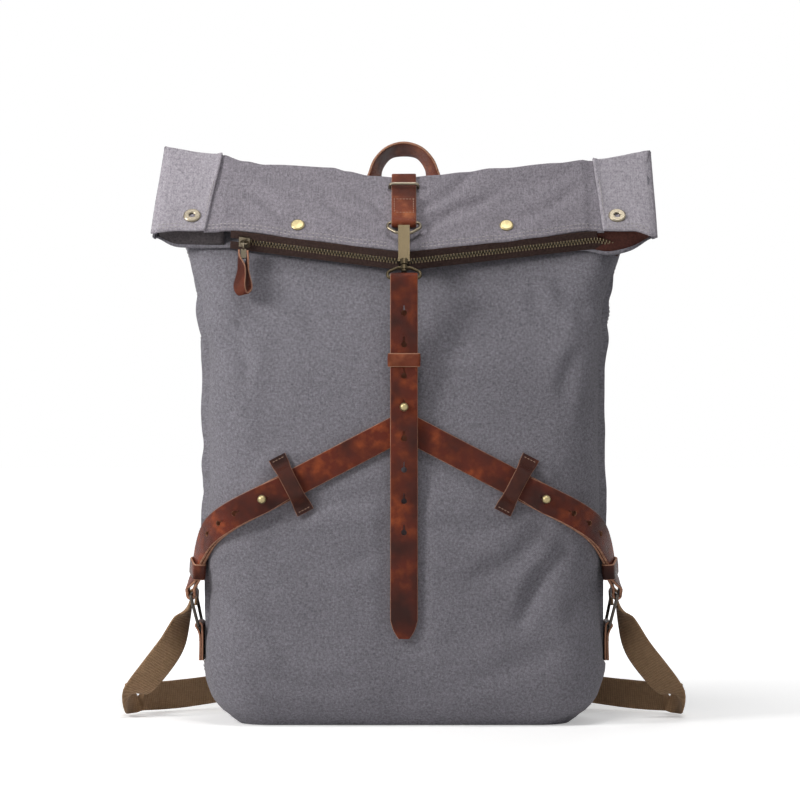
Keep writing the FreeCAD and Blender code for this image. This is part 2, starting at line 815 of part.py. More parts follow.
def flap_strap_pieces():
    """The short strap over the fold, its metal loop and the D-ring that it ends in."""
    tilt = leaning(size("flap_tilt"))
    leather = size("leather") - 0.4
    play = size("play")
    base = size("flap_clear") + size("canvas") + play + leather / 2
    wire_radius = size("wire") / 2
    bar_down = 50.0
    loop_radius = wire_radius + play + leather / 2
    bar_off = base + loop_radius
    outward = FRONT
    fold = size("flap_rise")
    route = [
        (Vector(0, -base, fold), outward),
        (Vector(0, -base, -bar_down), outward),
    ]
    centre = Vector(0, -bar_off, -bar_down)
    route += arc_stations(centre, Vector(0, loop_radius, 0), X_AXIS, -180, 8, True)[1:]
    tail_off = base + leather + play
    route += [
        (Vector(0, -tail_off - 0.6, -bar_down + 9), BACK),
        (Vector(0, -tail_off, -bar_down + 13), BACK),
        (Vector(0, -tail_off, -bar_down + 29), BACK),
    ]
    stations = [(tilt.multVec(p), tilt.Rotation.multVec(n)) for p, n in route]
    strap = ribbon_shape(stations, 20.0, leather)
    keep(feature("flap_strap", strap), "flap_strap")

    centre = d_ring_top()
    half = size("ring_width") / 2 - wire_radius
    drop = size("d_ring_drop")
    down = d_ring_down()
    corners = [
        Vector(-half, 0, 0),
        Vector(half, 0, 0),
        Vector(half, 0, 0) + down * (drop * 0.5),
        Vector(half * 0.45, 0, 0) + down * drop,
        Vector(-half * 0.45, 0, 0) + down * drop,
        Vector(-half, 0, 0) + down * (drop * 0.5),
    ]
    ring = wire_ring([centre + c for c in corners], wire_radius)
    keep(ring, "d_ring")

    loop_wire = 1.25
    loop_down = 8.0
    inner = size("flap_clear") + size("canvas") + play
    half_wide = 20.0 / 2 + play + loop_wire
    depth_front = inner + leather + play * 2 + 2 * loop_wire
    front = [
        Vector(-half_wide, -inner - loop_wire * 0.2, -loop_down),
        Vector(-half_wide, -depth_front, -loop_down),
        Vector(half_wide, -depth_front, -loop_down),
        Vector(half_wide, -inner - loop_wire * 0.2, -loop_down),
    ]
    slide = wire_ring([tilt.multVec(p) for p in front], loop_wire, closed=False)
    keep(slide, "strap_slide")


# ---------------------------------------------------------------- hook and closure strap


def hook_eye():
    """Middle of the swivel eye's bar, set so that the hook's jaw holds the D-ring."""
    bar = d_ring_top() + d_ring_down() * size("d_ring_drop")
    jaw_y = (size("hook_plate") / 2 + size("jaw_back") - size("nose")) / 2
    jaw_z = size("hook_top") - 2.7 - size("wire") / 2 - size("play")
    turned_arm = Rotation(X_AXIS, -size("hook_tilt")).multVec(Vector(0, jaw_y, jaw_z))
    return bar - turned_arm


def hook_frame():
    """Placement at the eye's bar: own Z runs up the hook, own -Y faces forwards."""
    return Placement(hook_eye(), Rotation(X_AXIS, -size("hook_tilt")))


def hook_pieces():
    """Swivel eye, hook, gate and gate pin of the snap hook."""
    frame = hook_frame()
    wire_radius = size("wire") / 2
    half = size("ring_width") / 2 - wire_radius
    rise = size("eye_rise")
    play = size("play")
    corners = [
        Vector(-half, 0, 0),
        Vector(half, 0, 0),
        Vector(half, 0, rise * 0.5),
        Vector(half * 0.4, 0, rise - wire_radius),
        Vector(-half * 0.4, 0, rise - wire_radius),
        Vector(-half, 0, rise * 0.5),
    ]
    eye = wire_ring([frame.multVec(c) for c in corners], wire_radius)
    collar_low = rise - wire_radius * 2 - 0.8
    boss = Part.makeCylinder(2.9, rise + 0.6 - collar_low, Vector(0, 0, collar_low))
    bore = Part.makeCylinder(1.5 + 0.1, 20, Vector(0, 0, 0))
    eye_shape = eye.Shape.fuse(boss.transformGeometry(frame.toMatrix()))
    eye_shape = eye_shape.cut(bore.transformGeometry(frame.toMatrix()))
    eye.Shape = eye_shape
    keep(eye, "swivel_eye")

    plate_half = size("hook_plate") / 2
    width = size("hook_half")
    top = size("hook_top")
    back = size("jaw_back")
    nose = size("nose")
    foot = rise + 0.6 + play
    head = Part.makeCylinder(2.4, 1.4, Vector(0, 0, collar_low - play - 1.4))
    post = Part.makeCylinder(1.5, foot - collar_low + 2.4, Vector(0, 0, collar_low - play - 0.5))
    barrel = Part.makeCylinder(3.6, 5.0, Vector(0, 0, foot))
    spine_corner = Vector(-width, -plate_half, foot + 3)
    spine = Part.makeBox(2 * width, 2 * plate_half, top - foot - 3, spine_corner)
    curl_corner = Vector(-width, -plate_half, top - 2.7)
    curl = Part.makeBox(2 * width, back + plate_half, 2.7, curl_corner)
    beak = Part.makeBox(6.0, nose, top - 40.0, Vector(-3.0, back - nose, 40.0))
    block = Part.makeBox(2 * width, back, 6.0, Vector(-width, 0, foot + 3))
    slot_corner = Vector(-2.6 - play, plate_half + 0.4, foot + 3.4)
    slot = Part.makeBox(2 * (2.6 + play), back - plate_half, 8.0, slot_corner)
    pin_at = Vector(-width, back - 2.4, foot + 6.0)
    pin_bore = Part.makeCylinder(0.85, 2 * width, pin_at, X_AXIS)
    hook = spine.multiFuse([curl, beak, block, barrel]).cut(slot).cut(pin_bore)
    hook = hook.multiFuse([post, head]).removeSplitter()
    keep(feature("hook_body", hook, frame), "hook_body")
    pin = Part.makeCylinder(0.8, 2 * width, pin_at, X_AXIS)
    keep(feature("gate_pin", pin, frame), "gate_pin")

    knuckle = Part.makeCylinder(1.7, 5.2, Vector(-2.6, pin_at.y, pin_at.z), X_AXIS)
    leaf_back = back - 0.6
    leaf = Part.makeBox(5.2, 1.5, 39.7 - pin_at.z, Vector(-2.6, leaf_back - 1.5, pin_at.z))
    hole = Part.makeCylinder(0.8 + 0.05, 10, Vector(-5, pin_at.y, pin_at.z), X_AXIS)
    gate = knuckle.fuse(leaf).cut(hole).removeSplitter()
    keep(feature("hook_gate", gate, frame), "hook_gate")


def strap_line():
    """The straight stretch of the closure strap: a point at the stud and its upward direction."""
    height = size("stud_height")
    low = Vector(0, level("front", height) - cross_layers()[1], height)
    eye = hook_eye()
    high = Vector(0, eye.y + 1.0, eye.z - 14)
    return low, (high - low).normalize(), high


def closure_strap():
    """Up behind the hook's eye, over its bar and down again to a free pointed tail."""
    leather = size("leather")
    play = size("play")
    layer = leather + play
    low, up, high = strap_line()
    out = Vector(0, -up.z, up.y)
    eye = hook_eye()
    loop_radius = size("wire") / 2 + play + leather / 2
    bottom_z = size("yoke_height") - 15
    bottom = Vector(0, level("front", bottom_z) - cross_layers()[1], bottom_z)
    route = [(bottom, FRONT), (low, FRONT), (high, FRONT)]
    route += arc_stations(eye, Vector(0, loop_radius, 0), X_AXIS, 180, 10, True)
    points = [point for point, _ in route]
    points += [high + out * layer, low + out * layer, bottom + FRONT * layer]
    tip = size("tail_tip")
    settling = ((bottom_z - 28, 1.9), (bottom_z - 58, 1.2), (tip + 20, 0.9))
    for z, layers_off in (*settling, (tip + 13, 0.8), (tip, 0.7)):
        points.append(Vector(0, level("front", z) - layers_off * layer, z))
    width = size("strap_width")
    widths = [width] * (len(points) - 1) + [width * 0.5]
    shape = ribbon_shape(upright_faces(points), widths, leather)
    for step in range(-4, 4):
        point = low + up * (step * size("hole_pitch"))
        shape = shape.cut(Part.makeCylinder(size("hole_radius"), 40, point + Vector(0, 12, 0), FRONT))
    keep(feature("closure_strap", shape), "closure_strap")

    keep_at = (size("keeper_height") - low.z) / up.z
    skin = size("thin_leather")
    half = width / 2 + play
    length = size("keeper_length")
    back_face = layer / 2
    place = Placement(low + up * keep_at, Rotation(Z_AXIS, up))
    depth = 2 * leather + 3 * play
    outer_corner = Vector(-half - skin, -depth - skin + back_face, -length / 2)
    outer = Part.makeBox(2 * (half + skin), depth + 2 * skin, length, outer_corner)
    inner_corner = Vector(-half, -depth + back_face, -length / 2)
    inner = Part.makeBox(2 * half, depth, length, inner_corner)
    keep(feature("closure_keeper", outer.cut(inner), place), "closure_keeper")
    root = Vector(0, level("front", low.z) - play, low.z)
    stud("closure_stud", root, FRONT, 3 * layer)


def upright_faces(points):
    """Stations for a band that bends about X only, its face turned with its direction."""
    found = []
    for i, point in enumerate(points):
        ahead = points[min(i + 1, len(points) - 1)]
        before = points[max(i - 1, 0)]
        along = (ahead - before).normalize()
        found.append((point, Vector(0, -along.z, along.y)))
    return found


def stud(label, point, outward, neck):
    """A ball stud: a neck through the leather and a round head on it."""
    radius = 3.5
    place = facing(point, outward)
    shape = Part.makeCylinder(1.5, neck + 2.0)
    head = Part.makeSphere(radius, Vector(0, 0, neck + 0.4 + math.sqrt(radius**2 - 1.5**2)))
    keep(feature(label, shape.fuse(head), place), label)


# ---------------------------------------------------------------- cross straps and side rings


def side_bar():
    """Middle of the side ring's upper bar, on the left."""
    return Vector(-size("side_bar_x"), size("side_bar_y"), size("side_bar_z"))


def cross_line():
    """The left cross strap's middle line, as arc lengths round the bag and heights."""
    drop = size("cross_drop")
    stud_at = size("cross_stud_x")
    top = size("yoke_height")
    line = [(along, top - drop * along) for along in (-6, 18, 42, 66, 90, stud_at)]
    heading = math.degrees(math.atan(drop))
    count = 12
    stride = size("cross_sweep") / count
    for step in range(count):
        share = ((step + 0.5) / count) ** 3
        turn = math.radians(heading + (size("cross_turn") - heading) * share)
        along, height = line[-1]
        line.append((along + stride * math.cos(turn), height - stride * math.sin(turn)))
    return line


def cross_run(offset, loop_side):
    """Stations of one layer of the cross strap, from the yoke to just above the side ring."""
    line = cross_line()
    count = len(line)
    lift = {count - 1: 3.0, count - 2: 2.6, count - 3: 1.4, count - 4: 0.4}
    run = []
    for i, (along, height) in enumerate(line):
        run.append(on_bag(along, height, offset + lift.get(i, 0)))
    bar = side_bar()
    side = Vector(bar.x, cross_loop_y(), bar.z)
    run.append((side + Vector(loop_reach() * loop_side, 0, 7), Vector(-1, 0, 0)))
    return run


def cross_loop_y():
    return side_bar().y - size("side_ring_length") / 2 + size("strap_width") / 2 + 5


def loop_reach():
    """Distance from a ring's bar to the middle of leather looped round it."""
    return size("wire") / 2 + size("play") + size("leather") / 2


def cross_layers():
    """Offsets of the two layers of a cross strap from the canvas."""
    inner = 2 * size("play") + size("leather") / 2
    return inner, inner + size("leather") + size("play")


def cross_straps():
    """Each cross strap: out from the yoke, round the side ring's bar and back to its stud."""
    inner, outer = cross_layers()
    bar = side_bar()
    side = Vector(bar.x, cross_loop_y(), bar.z)
    loop = []
    for step in range(9):
        arm = Rotation(Y_AXIS, 180 * step / 8).multVec(Vector(loop_reach(), 0, 0))
        loop.append((side + arm, Vector(-arm.x, 0, -arm.z).normalize()))
    back_run = [(p, n * -1) for p, n in reversed(cross_run(outer, -1))]
    back_run = back_run[:-4]
    route = cross_run(inner, 1) + loop + back_run
    shape = ribbon_shape(route, size("strap_width"), size("leather"))
    trim = Part.makeBox(FAR, FAR, FAR, Vector(-size("play") / 2, -FAR / 2, 0))
    shape = shape.cut(trim)
    line = cross_line()
    for step in (5, 8, 10, 12):
        point, normal = on_bag(*line[step], -2.0)
        shape = shape.cut(Part.makeCylinder(size("hole_radius"), 12, point, normal))
    both_sides(feature("cross_strap", shape), "cross_strap")

    point, normal = on_bag(*line[5], size("play"))
    stud("cross_stud_left", point, normal, outer + size("leather") / 2)
    left = NODES.pop()
    both_sides(left, "cross_stud")


def roll_keepers():
    """Leather sleeves round both layers of each cross strap, just above the side ring."""
    inner, outer = cross_layers()
    low_in, normal = cross_run(inner, 1)[-2]
    low_out, _ = cross_run(outer, -1)[-2]
    high_in, _ = cross_run(inner, 1)[-3]
    high_out, _ = cross_run(outer, -1)[-3]
    middle = (low_in + low_out + high_in + high_out) * 0.25
    up = (high_in + high_out - low_in - low_out).normalize()
    out = (normal - up * normal.dot(up)).normalize()
    play = size("play")
    skin = size("thin_leather")
    depth = size("roll_depth")
    half = size("strap_width") / 2 + 3 * play
    length = size("roll_length")
    place = Placement(middle, Rotation(out.cross(up), out, up, "ZXY"))
    corner = Vector(-half - skin, -depth / 2 - skin, -length / 2)
    shell = Part.makeBox(2 * (half + skin), depth + 2 * skin, length, corner)
    hole = Part.makeBox(2 * half, depth, length, Vector(-half, -depth / 2, -length / 2))
    both_sides(feature("roll_keeper", shell.cut(hole), place), "roll_keeper")


def bridge_keepers():
    """Short leather bridges sewn to the canvas at both ends, over each cross strap."""
    drop = size("cross_drop")
    middle = size("bridge_x")
    height = size("yoke_height") - drop * middle
    lean = math.atan(drop)
    skin = size("thin_leather")
    play = size("play")
    low = play + skin / 2
    high = cross_layers()[1] + size("leather") / 2 + 2 * play + skin / 2
    half = size("bridge_length") / 2
    over = size("strap_width") / 2 + 2 * play + skin
    route = []
    arch = ((-half, low), (-over - 5, low), (-over, high), (over, high), (over + 5, low), (half, low))
    for along, off in arch:
        x_along = middle + along * math.sin(lean)
        route.append(on_bag(x_along, height + along * math.cos(lean), off))
    shape = ribbon_shape(route, size("bridge_width"), skin)
    both_sides(feature("bridge", shape), "bridge_keeper")


def side_pieces():
    """Side ring, the leather tab that holds it, and the roll keeper on the cross strap."""
    bar = side_bar()
    radius = size("wire") / 2
    half = size("side_ring_length") / 2
    lean = math.radians(size("side_ring_lean"))
    down = Vector(math.sin(lean), 0, -math.cos(lean)) * size("side_ring_drop")
    corners = [
        bar + Vector(0, -half, 0),
        bar + Vector(0, half, 0),
        bar + Vector(0, half * 0.72, 0) + down,
        bar + Vector(0, -half * 0.72, 0) + down,
    ]
    ring = wire_ring(corners, radius)
    both_sides(ring, "side_ring")

    leather = size("thin_leather")
    play = size("play")
    low = bar + down
    reach = radius + play + leather / 2
    x_in = -(level("half", low.z - 20) + play + leather / 2)
    inwards = Vector(-1, 0, 0)
    route = [
        (Vector(x_in, low.y, low.z - 28), inwards),
        (Vector(x_in, low.y, low.z - 8), inwards),
    ]
    for step in range(9):
        arm = Rotation(Y_AXIS, -180 * step / 8).multVec(Vector(reach, 0, 0))
        route.append((low + arm, Vector(-arm.x, 0, -arm.z).normalize()))
    x_out = x_in - leather - play
    route += [
        (Vector(x_out, low.y, low.z - 8), Vector(1, 0, 0)),
        (Vector(x_out, low.y, low.z - 28), Vector(1, 0, 0)),
    ]
    tab = ribbon_shape(route, 2 * half * 0.72 - 6 * radius, leather)
    both_sides(feature("side_tab", tab), "side_tab")


# ---------------------------------------------------------------- back: handle and shoulder straps


def back_frame():
    """Placement on the sloping upper back: own Z up the slope, own Y outwards."""
    run = size("collar_back") - size("neck_back")
    rise = size("neck_height") - size("collar_height")
    lean = math.degrees(math.atan2(run, rise))
    return Placement(Vector(0, size("neck_back"), size("neck_height")), Rotation(X_AXIS, lean))


def top_handle():
    """The leather carrying handle: a band that stands on edge at the top of its arch."""
    frame = back_frame()
    leather = size("leather")
    off = size("play") + leather / 2
    half = size("handle_half")
    foot_out = frame.Rotation.multVec(BACK)
    top = size("handle_top") - size("handle_width") * 0.17
    lean_y = 34.0
    left = [
        (frame.multVec(Vector(-half - 2, off, -22)), foot_out),
        (frame.multVec(Vector(-half - 2, off, -6)), foot_out),
        (Vector(-half - 2, 22, 432), Vector(-0.55, 0.8, 0.1)),
        (Vector(-half, 27, 446), Vector(-0.92, 0.35, 0)),
        (Vector(-half + 4, 31, 458), Vector(-0.93, 0.1, 0.3)),
        (Vector(-half * 0.5, lean_y - 1, top - 3), Vector(-0.55, 0.15, 0.8)),
    ]
    middle = [(Vector(0, lean_y, top), Vector(0, 0.25, 1))]
    right = [(Vector(-p.x, p.y, p.z), Vector(-n.x, n.y, n.z)) for p, n in reversed(left)]
    shape = ribbon_shape(left + middle + right, size("handle_width"), leather)
    keep(feature("top_handle", shape), "top_handle")


def back_patch():
    """The leather patch sewn over the roots of the handle and the shoulder straps."""
    frame = back_frame()
    off = size("leather") + 2 * size("play")
    made = box(
        "back_patch",
        "{patch_width}",
        "{thin_leather}",
        "{patch_length}",
        (-size("patch_width") / 2, off, -size("patch_length") - 8),
        frame,
    )
    keep(made, "back_patch")


def behind(x, height, off):
    """A point off the flat middle of the bag's back, and its outward normal."""
    rate = (level("back", height + 4) - level("back", height - 4)) / 8
    normal = Vector(0, 1, -rate).normalize()
    return Vector(x, level("back", height), height) + normal * off, normal


def shoulder_top():
    """Where the left shoulder strap turns: the lower edge of the back patch."""
    frame = back_frame()
    return frame.multVec(Vector(-22, size("play") + 2.0, -size("patch_length") - 13))


def shoulder_pieces():
    """Padded shoulder strap, its leather end, the slide buckle and the lower webbing."""
    top = shoulder_top()
    thick = size("pad_thick")
    rest = thick / 2 + 0.8
    root, face = behind(-24, 372, 2.0 + size("play"))
    full, full_face = behind(-26, 357, rest + 1.8)
    route = [
        (top, face),
        (root, face),
        (full, full_face),
        (behind(-31, 330, rest + 1.0)[0], Vector(0, 1, 0.15)),
        (behind(-41, 296, rest + 1.6)[0], Vector(0, 1, 0.1)),
        (behind(-47, 270, rest + 2.0)[0], BACK),
        (behind(-58, 225, rest + 2.0)[0], BACK),
        (behind(-68, 178, rest + 1.0)[0], BACK),
    ]
    width = size("pad_width")
    widths = [26, 30, width * 0.76, width * 0.92, width, width, width, width * 0.6]
    thin_top = ribbon_shape(route[:3], widths[:3], 4.0)
    padded = ribbon_shape(route[2:], widths[2:], thick)
    strap = thin_top.fuse(padded).removeSplitter()
    both_sides(feature("shoulder_pad", strap), "shoulder_pad")

    start, end = route[-2][0], route[-1][0]
    heading = (end - start).normalize()
    leather = size("leather")
    tab_width = 26
    bar = end + heading * 26
    reach = 1.5 + size("play") + leather / 2
    face = Vector(BACK)
    tab_route = [(end + heading * 0.4, face), (end + heading * 18 + Vector(0, -reach * 0.6, 0), face)]
    across = face.cross(heading).normalize()
    out = heading.cross(across)
    for step in range(9):
        turn = math.radians(180 * step / 8)
        arm = (out * -math.cos(turn) + heading * math.sin(turn)) * reach
        tab_route.append((bar + arm, Vector(-arm.x, -arm.y, -arm.z).normalize() * 1))
    tab_route.append((end + heading * 18 + Vector(0, reach * 0.9, 0), Vector(FRONT)))
    tab_route.append((end + heading * 0.6 + Vector(0, leather + size("play"), 0), Vector(FRONT)))
    oriented = []
    for i, (p, n) in enumerate(tab_route):
        ahead = tab_route[min(i + 1, len(tab_route) - 1)][0]
        before = tab_route[max(i - 1, 0)][0]
        along = (ahead - before).normalize()
        oriented.append((p, along.cross(across) * 1))
    shape = ribbon_shape([(p, n * -1) for p, n in oriented], tab_width, leather)
    both_sides(feature("strap_end_tab", shape), "strap_end_tab")

    frame_x = across
    half = 16.5
    wire = 1.5
    low = bar + heading * 20
    loop = [bar - frame_x * half, bar + frame_x * half, low + frame_x * half, low - frame_x * half]
    buckle = wire_ring(loop, wire)
    middle = (bar + low) * 0.5
    rod = Part.makeCylinder(wire, 2 * half, middle - frame_x * half, frame_x)
    buckle.Shape = buckle.Shape.fuse(rod)
    both_sides(buckle, "slide_buckle")
    lower_webbing(low, heading, out)


def lower_webbing(low, heading, out):
    """Webbing from the slide buckle down to the floor, out past the bag and up to the ring."""
    thick = size("webbing")
    width = size("webbing_width")
    bar = side_bar()
    reach = size("wire") / 2 + size("play") + thick / 2
    ring_y = bar.y + size("side_ring_length") / 2 - width / 2 - 5
    edge = width / 2 + 0.6
    start = low + heading * (1.5 + size("play") + thick / 2 + 0.2)
    route = [
        (start + out * -1.0, heading * -1 + out * 0.6),
        (start + heading * 14 + out * 1.0, out),
        (Vector(-82, 84, 72), Vector(0.1, 1, 0.2)),
        (Vector(-98, 92, 40), Vector(0, 1, 0.5)),
        (Vector(-122, 92, 23), Vector(-0.15, 1, 0.45)),
        (Vector(-155, 82, edge + 4), Vector(0.35, 1, 0.3)),
        (Vector(-190, 62, edge + 1), Vector(0.5, 1, 0.15)),
        (Vector(-218, 40, edge + 0.6), Vector(0.6, 0.9, 0.1)),
        (Vector(-229, 24, edge + 0.4), Vector(1, 0.15, 0)),
        (Vector(-222, 10, edge + 4), Vector(0.75, -0.8, 0.2)),
        (Vector(-207, 2, 34), Vector(0.6, -1, 0.35)),
        (Vector(-191, -2, 60), Vector(0.7, -0.75, 0.25)),
        (Vector(-181, 1, 84), Vector(1, -0.4, 0.05)),
        (Vector(bar.x - reach, ring_y, bar.z - 6), Vector(1, 0, 0)),
    ]
    for step in range(9):
        turn = math.radians(180 * step / 8)
        arm = Vector(-math.cos(turn), 0, math.sin(turn)) * reach
        route.append((Vector(bar.x, ring_y, bar.z) + arm, Vector(-arm.x, 0, -arm.z).normalize()))
    route.append((Vector(bar.x + reach * 0.75, ring_y, bar.z - 10), Vector(-1, 0, 0)))
    shape = ribbon_shape(route, width, thick)
    both_sides(feature("lower_webbing", shape), "lower_webbing")


# ---------------------------------------------------------------- build, check and write


def check_and_write():
    """Stops on any failed object, then writes one STEP file for each sub-part."""
    DOC.recompute()
    for made in DOC.Objects:
        if "Invalid" in made.State or "Error" in made.State:
            raise RuntimeError(f"{made.Label} failed: {made.State}")
    os.makedirs("parts", exist_ok=True)
    for node in NODES:
        shape = node.Shape
        if shape.isNull() or not shape.isValid() or not shape.Solids:
            raise RuntimeError(f"{node.Label} has no valid solid")
        for solid in shape.Solids:
            if solid.Volume <= 0:
                raise RuntimeError(f"{node.Label} is inside out")
        shape.exportStep(f"parts/{node.Label}.step")
        print(f"{node.Label}: {len(shape.Solids)} solid(s), {shape.Volume / 1000:.2f} cm3")


def main():
    fill_sheet()
    bag_panels()
    inside_pieces()
    flap_panels()
    zip_pieces()
    slider_pieces()
    rivets_and_snaps()
    flap_strap_pieces()
    hook_pieces()
    cross_straps()
    roll_keepers()
    bridge_keepers()
    closure_strap()
    side_pieces()
    top_handle()
    back_patch()
    shoulder_pieces()
    check_and_write()


main()
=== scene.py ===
"""Looks of the fold-over canvas travel backpack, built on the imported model's frame.

Lengths in the tables are millimetres and are turned into metres when a mesh is made.
+X is to the right as seen from the front, the front faces -Y, and the floor is z = 0.
"""
import math

import bpy
from mathutils import Matrix, Vector, noise


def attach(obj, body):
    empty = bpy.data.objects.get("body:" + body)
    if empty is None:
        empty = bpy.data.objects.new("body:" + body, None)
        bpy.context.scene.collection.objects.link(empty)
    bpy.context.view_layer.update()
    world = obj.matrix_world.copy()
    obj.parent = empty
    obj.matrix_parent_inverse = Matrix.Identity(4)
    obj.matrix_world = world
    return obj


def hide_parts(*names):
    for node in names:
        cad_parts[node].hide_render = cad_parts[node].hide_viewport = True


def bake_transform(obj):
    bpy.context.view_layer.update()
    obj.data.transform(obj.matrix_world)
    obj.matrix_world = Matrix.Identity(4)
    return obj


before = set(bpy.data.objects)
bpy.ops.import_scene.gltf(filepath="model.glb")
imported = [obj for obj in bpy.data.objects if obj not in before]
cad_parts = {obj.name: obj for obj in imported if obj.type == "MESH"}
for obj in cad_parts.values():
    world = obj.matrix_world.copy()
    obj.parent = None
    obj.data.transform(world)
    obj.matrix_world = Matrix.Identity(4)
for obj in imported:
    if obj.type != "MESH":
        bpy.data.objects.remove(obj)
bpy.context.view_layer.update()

MM = 0.001
UP = Vector((0, 0, 1))
FRONT = Vector((0, -1, 0))
BACK = Vector((0, 1, 0))
X_AXIS = Vector((1, 0, 0))
SIDES = ((-1, "left"), (1, "right"))

# ------------------------------------------------------------------ node trees


class Graph:
    """A node tree and short ways of adding nodes to it."""

    def __init__(self, tree):
        self.tree = tree
        self.tree.nodes.clear()

    def add(self, kind, **settings):
        node = self.tree.nodes.new(kind)
        for key, value in settings.items():
            setattr(node, key, value)
        return node

    def put(self, value, socket):
        """Links an output, or sets a plain value."""
        if isinstance(value, bpy.types.NodeSocket):
            self.tree.links.new(value, socket)
        else:
            socket.default_value = value

    def feed(self, node, *values):
        """Puts values into a node's first inputs and returns its first output."""
        for value, socket in zip(values, node.inputs):
            self.put(value, socket)
        return node.outputs[0]

    def maths(self, operation, first, second=0.0, third=0.0):
        return self.feed(self.add("ShaderNodeMath", operation=operation), first, second, third)

    def spread(self, value, low, high, out_low=0.0, out_high=1.0):
        return self.feed(self.add("ShaderNodeMapRange"), value, low, high, out_low, out_high)


# ------------------------------------------------------------------ camera, light and floor

CAMERA_PLACE = (-0.0032, -2.465, 0.2616)
SENSOR = 36
HALF_VIEW, VIEW_DISTANCE = 0.32, 2.4
LAMPS = (
    # name, place, target, disc size, watts, colour
    ("key_light", (-1.02, -0.62, 0.78), (-0.03, 0, 0.22), 0.4, 9.6, (1, 0.99, 0.975)),
    ("top_light", (0.08, -0.5, 1.7), (0, 0, 0.38), 0.6, 8.4, (1, 1, 1)),
    ("fill_light", (-0.3, -2.4, 0.7), (0, 0, 0.2), 1.6, 1.2, (1, 1, 1)),
    ("rim_light", (0.5, 1.8, 1.5), (0, 0, 0.3), 1.2, 9.0, (1, 1, 1)),
)
WORLD_LEVEL = 0.17
WHITE = (1, 1, 1, 1)
FLOOR_REACH, FLOOR_DROP = 9.0, 0.0004
FLOOR_COLOUR = (0.93, 0.93, 0.93, 1)
# The floor's glow for seen rays, weaker near the bag as painted shade round it: distances from the
# origin, and the strength at each.
GLOW_NEAR, GLOW_FAR, GLOW_LOW, GLOW_HIGH = 0.25, 1.0, 0.36, 0.88


def linked(name, data):
    """A new object in the scene."""
    made = bpy.data.objects.new(name, data)
    bpy.context.scene.collection.objects.link(made)
    return made


def lamp(name, place, target, wide, power, colour):
    """A disc of light that looks at a point."""
    data = bpy.data.lights.new(name, "AREA")
    data.shape = "DISK"
    data.size = wide
    data.energy = power
    data.color = colour
    made = linked(name, data)
    made.location = place
    heading = Vector(target) - made.location
    made.rotation_euler = heading.to_track_quat("-Z", "Y").to_euler()


def directly_seen(graph):
    """1 for rays from the camera, off a shiny surface or through glass."""
    rays = graph.add("ShaderNodeLightPath").outputs
    value = rays["Is Camera Ray"]
    for name in ("Is Glossy Ray", "Is Transmission Ray"):
        value = graph.maths("MAXIMUM", value, rays[name])
    return value


def set_camera():
    """The camera stands where the photograph's did and looks level."""
    data = bpy.data.cameras.new("camera")
    camera = linked("camera", data)
    camera.location = CAMERA_PLACE
    camera.rotation_euler = (math.radians(90), 0, 0)
    data.sensor_width = SENSOR
    data.lens = SENSOR / (2 * HALF_VIEW / VIEW_DISTANCE)
    data.clip_start = 0.05
    data.clip_end = 60
    bpy.context.scene.camera = camera


def set_world():
    """A faint even light on the object, and plain white where the world itself is seen."""
    world = bpy.data.worlds.new("studio")
    bpy.context.scene.world = world
    world.use_nodes = True
    graph = Graph(world.node_tree)
    seen = directly_seen(graph)
    shades = [graph.feed(graph.add("ShaderNodeBackground"), WHITE, level) for level in (WORLD_LEVEL, 1.0)]
    mixed = graph.feed(graph.add("ShaderNodeMixShader"), seen, *shades)
    graph.put(mixed, graph.add("ShaderNodeOutputWorld").inputs[0])


def floor_paint():
    """Nearly white, with a glow for seen rays that keeps the distance white and is weaker near the bag,
    painted shade that deepens the shadow near by.
    """
    paint = bpy.data.materials.new("floor_paint")
    paint.use_nodes = True
    graph = Graph(paint.node_tree)
    diffuse = graph.add("ShaderNodeBsdfDiffuse")
    graph.put(FLOOR_COLOUR, diffuse.inputs["Color"])
    gone = graph.add("ShaderNodeVectorMath", operation="LENGTH")
    graph.put(graph.add("ShaderNodeTexCoord").outputs["Object"], gone.inputs[0])
    fade = graph.spread(gone.outputs["Value"], GLOW_NEAR, GLOW_FAR, GLOW_LOW, GLOW_HIGH)
    glow = graph.add("ShaderNodeEmission")
    graph.put(graph.maths("MULTIPLY", directly_seen(graph), fade), glow.inputs["Strength"])
    both = graph.feed(graph.add("ShaderNodeAddShader"), diffuse.outputs[0], glow.outputs[0])
    graph.put(both, graph.add("ShaderNodeOutputMaterial").inputs[0])
    return paint


def set_floor():
    """A wide floor, a hair under z = 0."""
    mesh = bpy.data.meshes.new("floor")
    corners = [(a * FLOOR_REACH, b * FLOOR_REACH, 0) for a, b in ((-1, -1), (1, -1), (1, 1), (-1, 1))]
    mesh.from_pydata(corners, [], [(0, 1, 2, 3)])
    mesh.materials.append(floor_paint())
    ground = linked("floor", mesh)
    ground.location.z = -FLOOR_DROP


def set_stage():
    """Camera at the photograph's angle, soft studio light and a pale floor."""
    bpy.context.scene.view_settings.view_transform = "Standard"
    set_camera()
    for row in LAMPS:
        lamp(*row)
    set_world()
    set_floor()


# ------------------------------------------------------------------ materials


def tone(red, green, blue):
    """A colour given as it looks on screen, 0 to 255, as linear values."""
    linear = []
    for value in (red, green, blue):
        share = value / 255
        low = share <= 0.04045
        linear.append(share / 12.92 if low else ((share + 0.055) / 1.055) ** 2.4)
    return (*linear, 1.0)


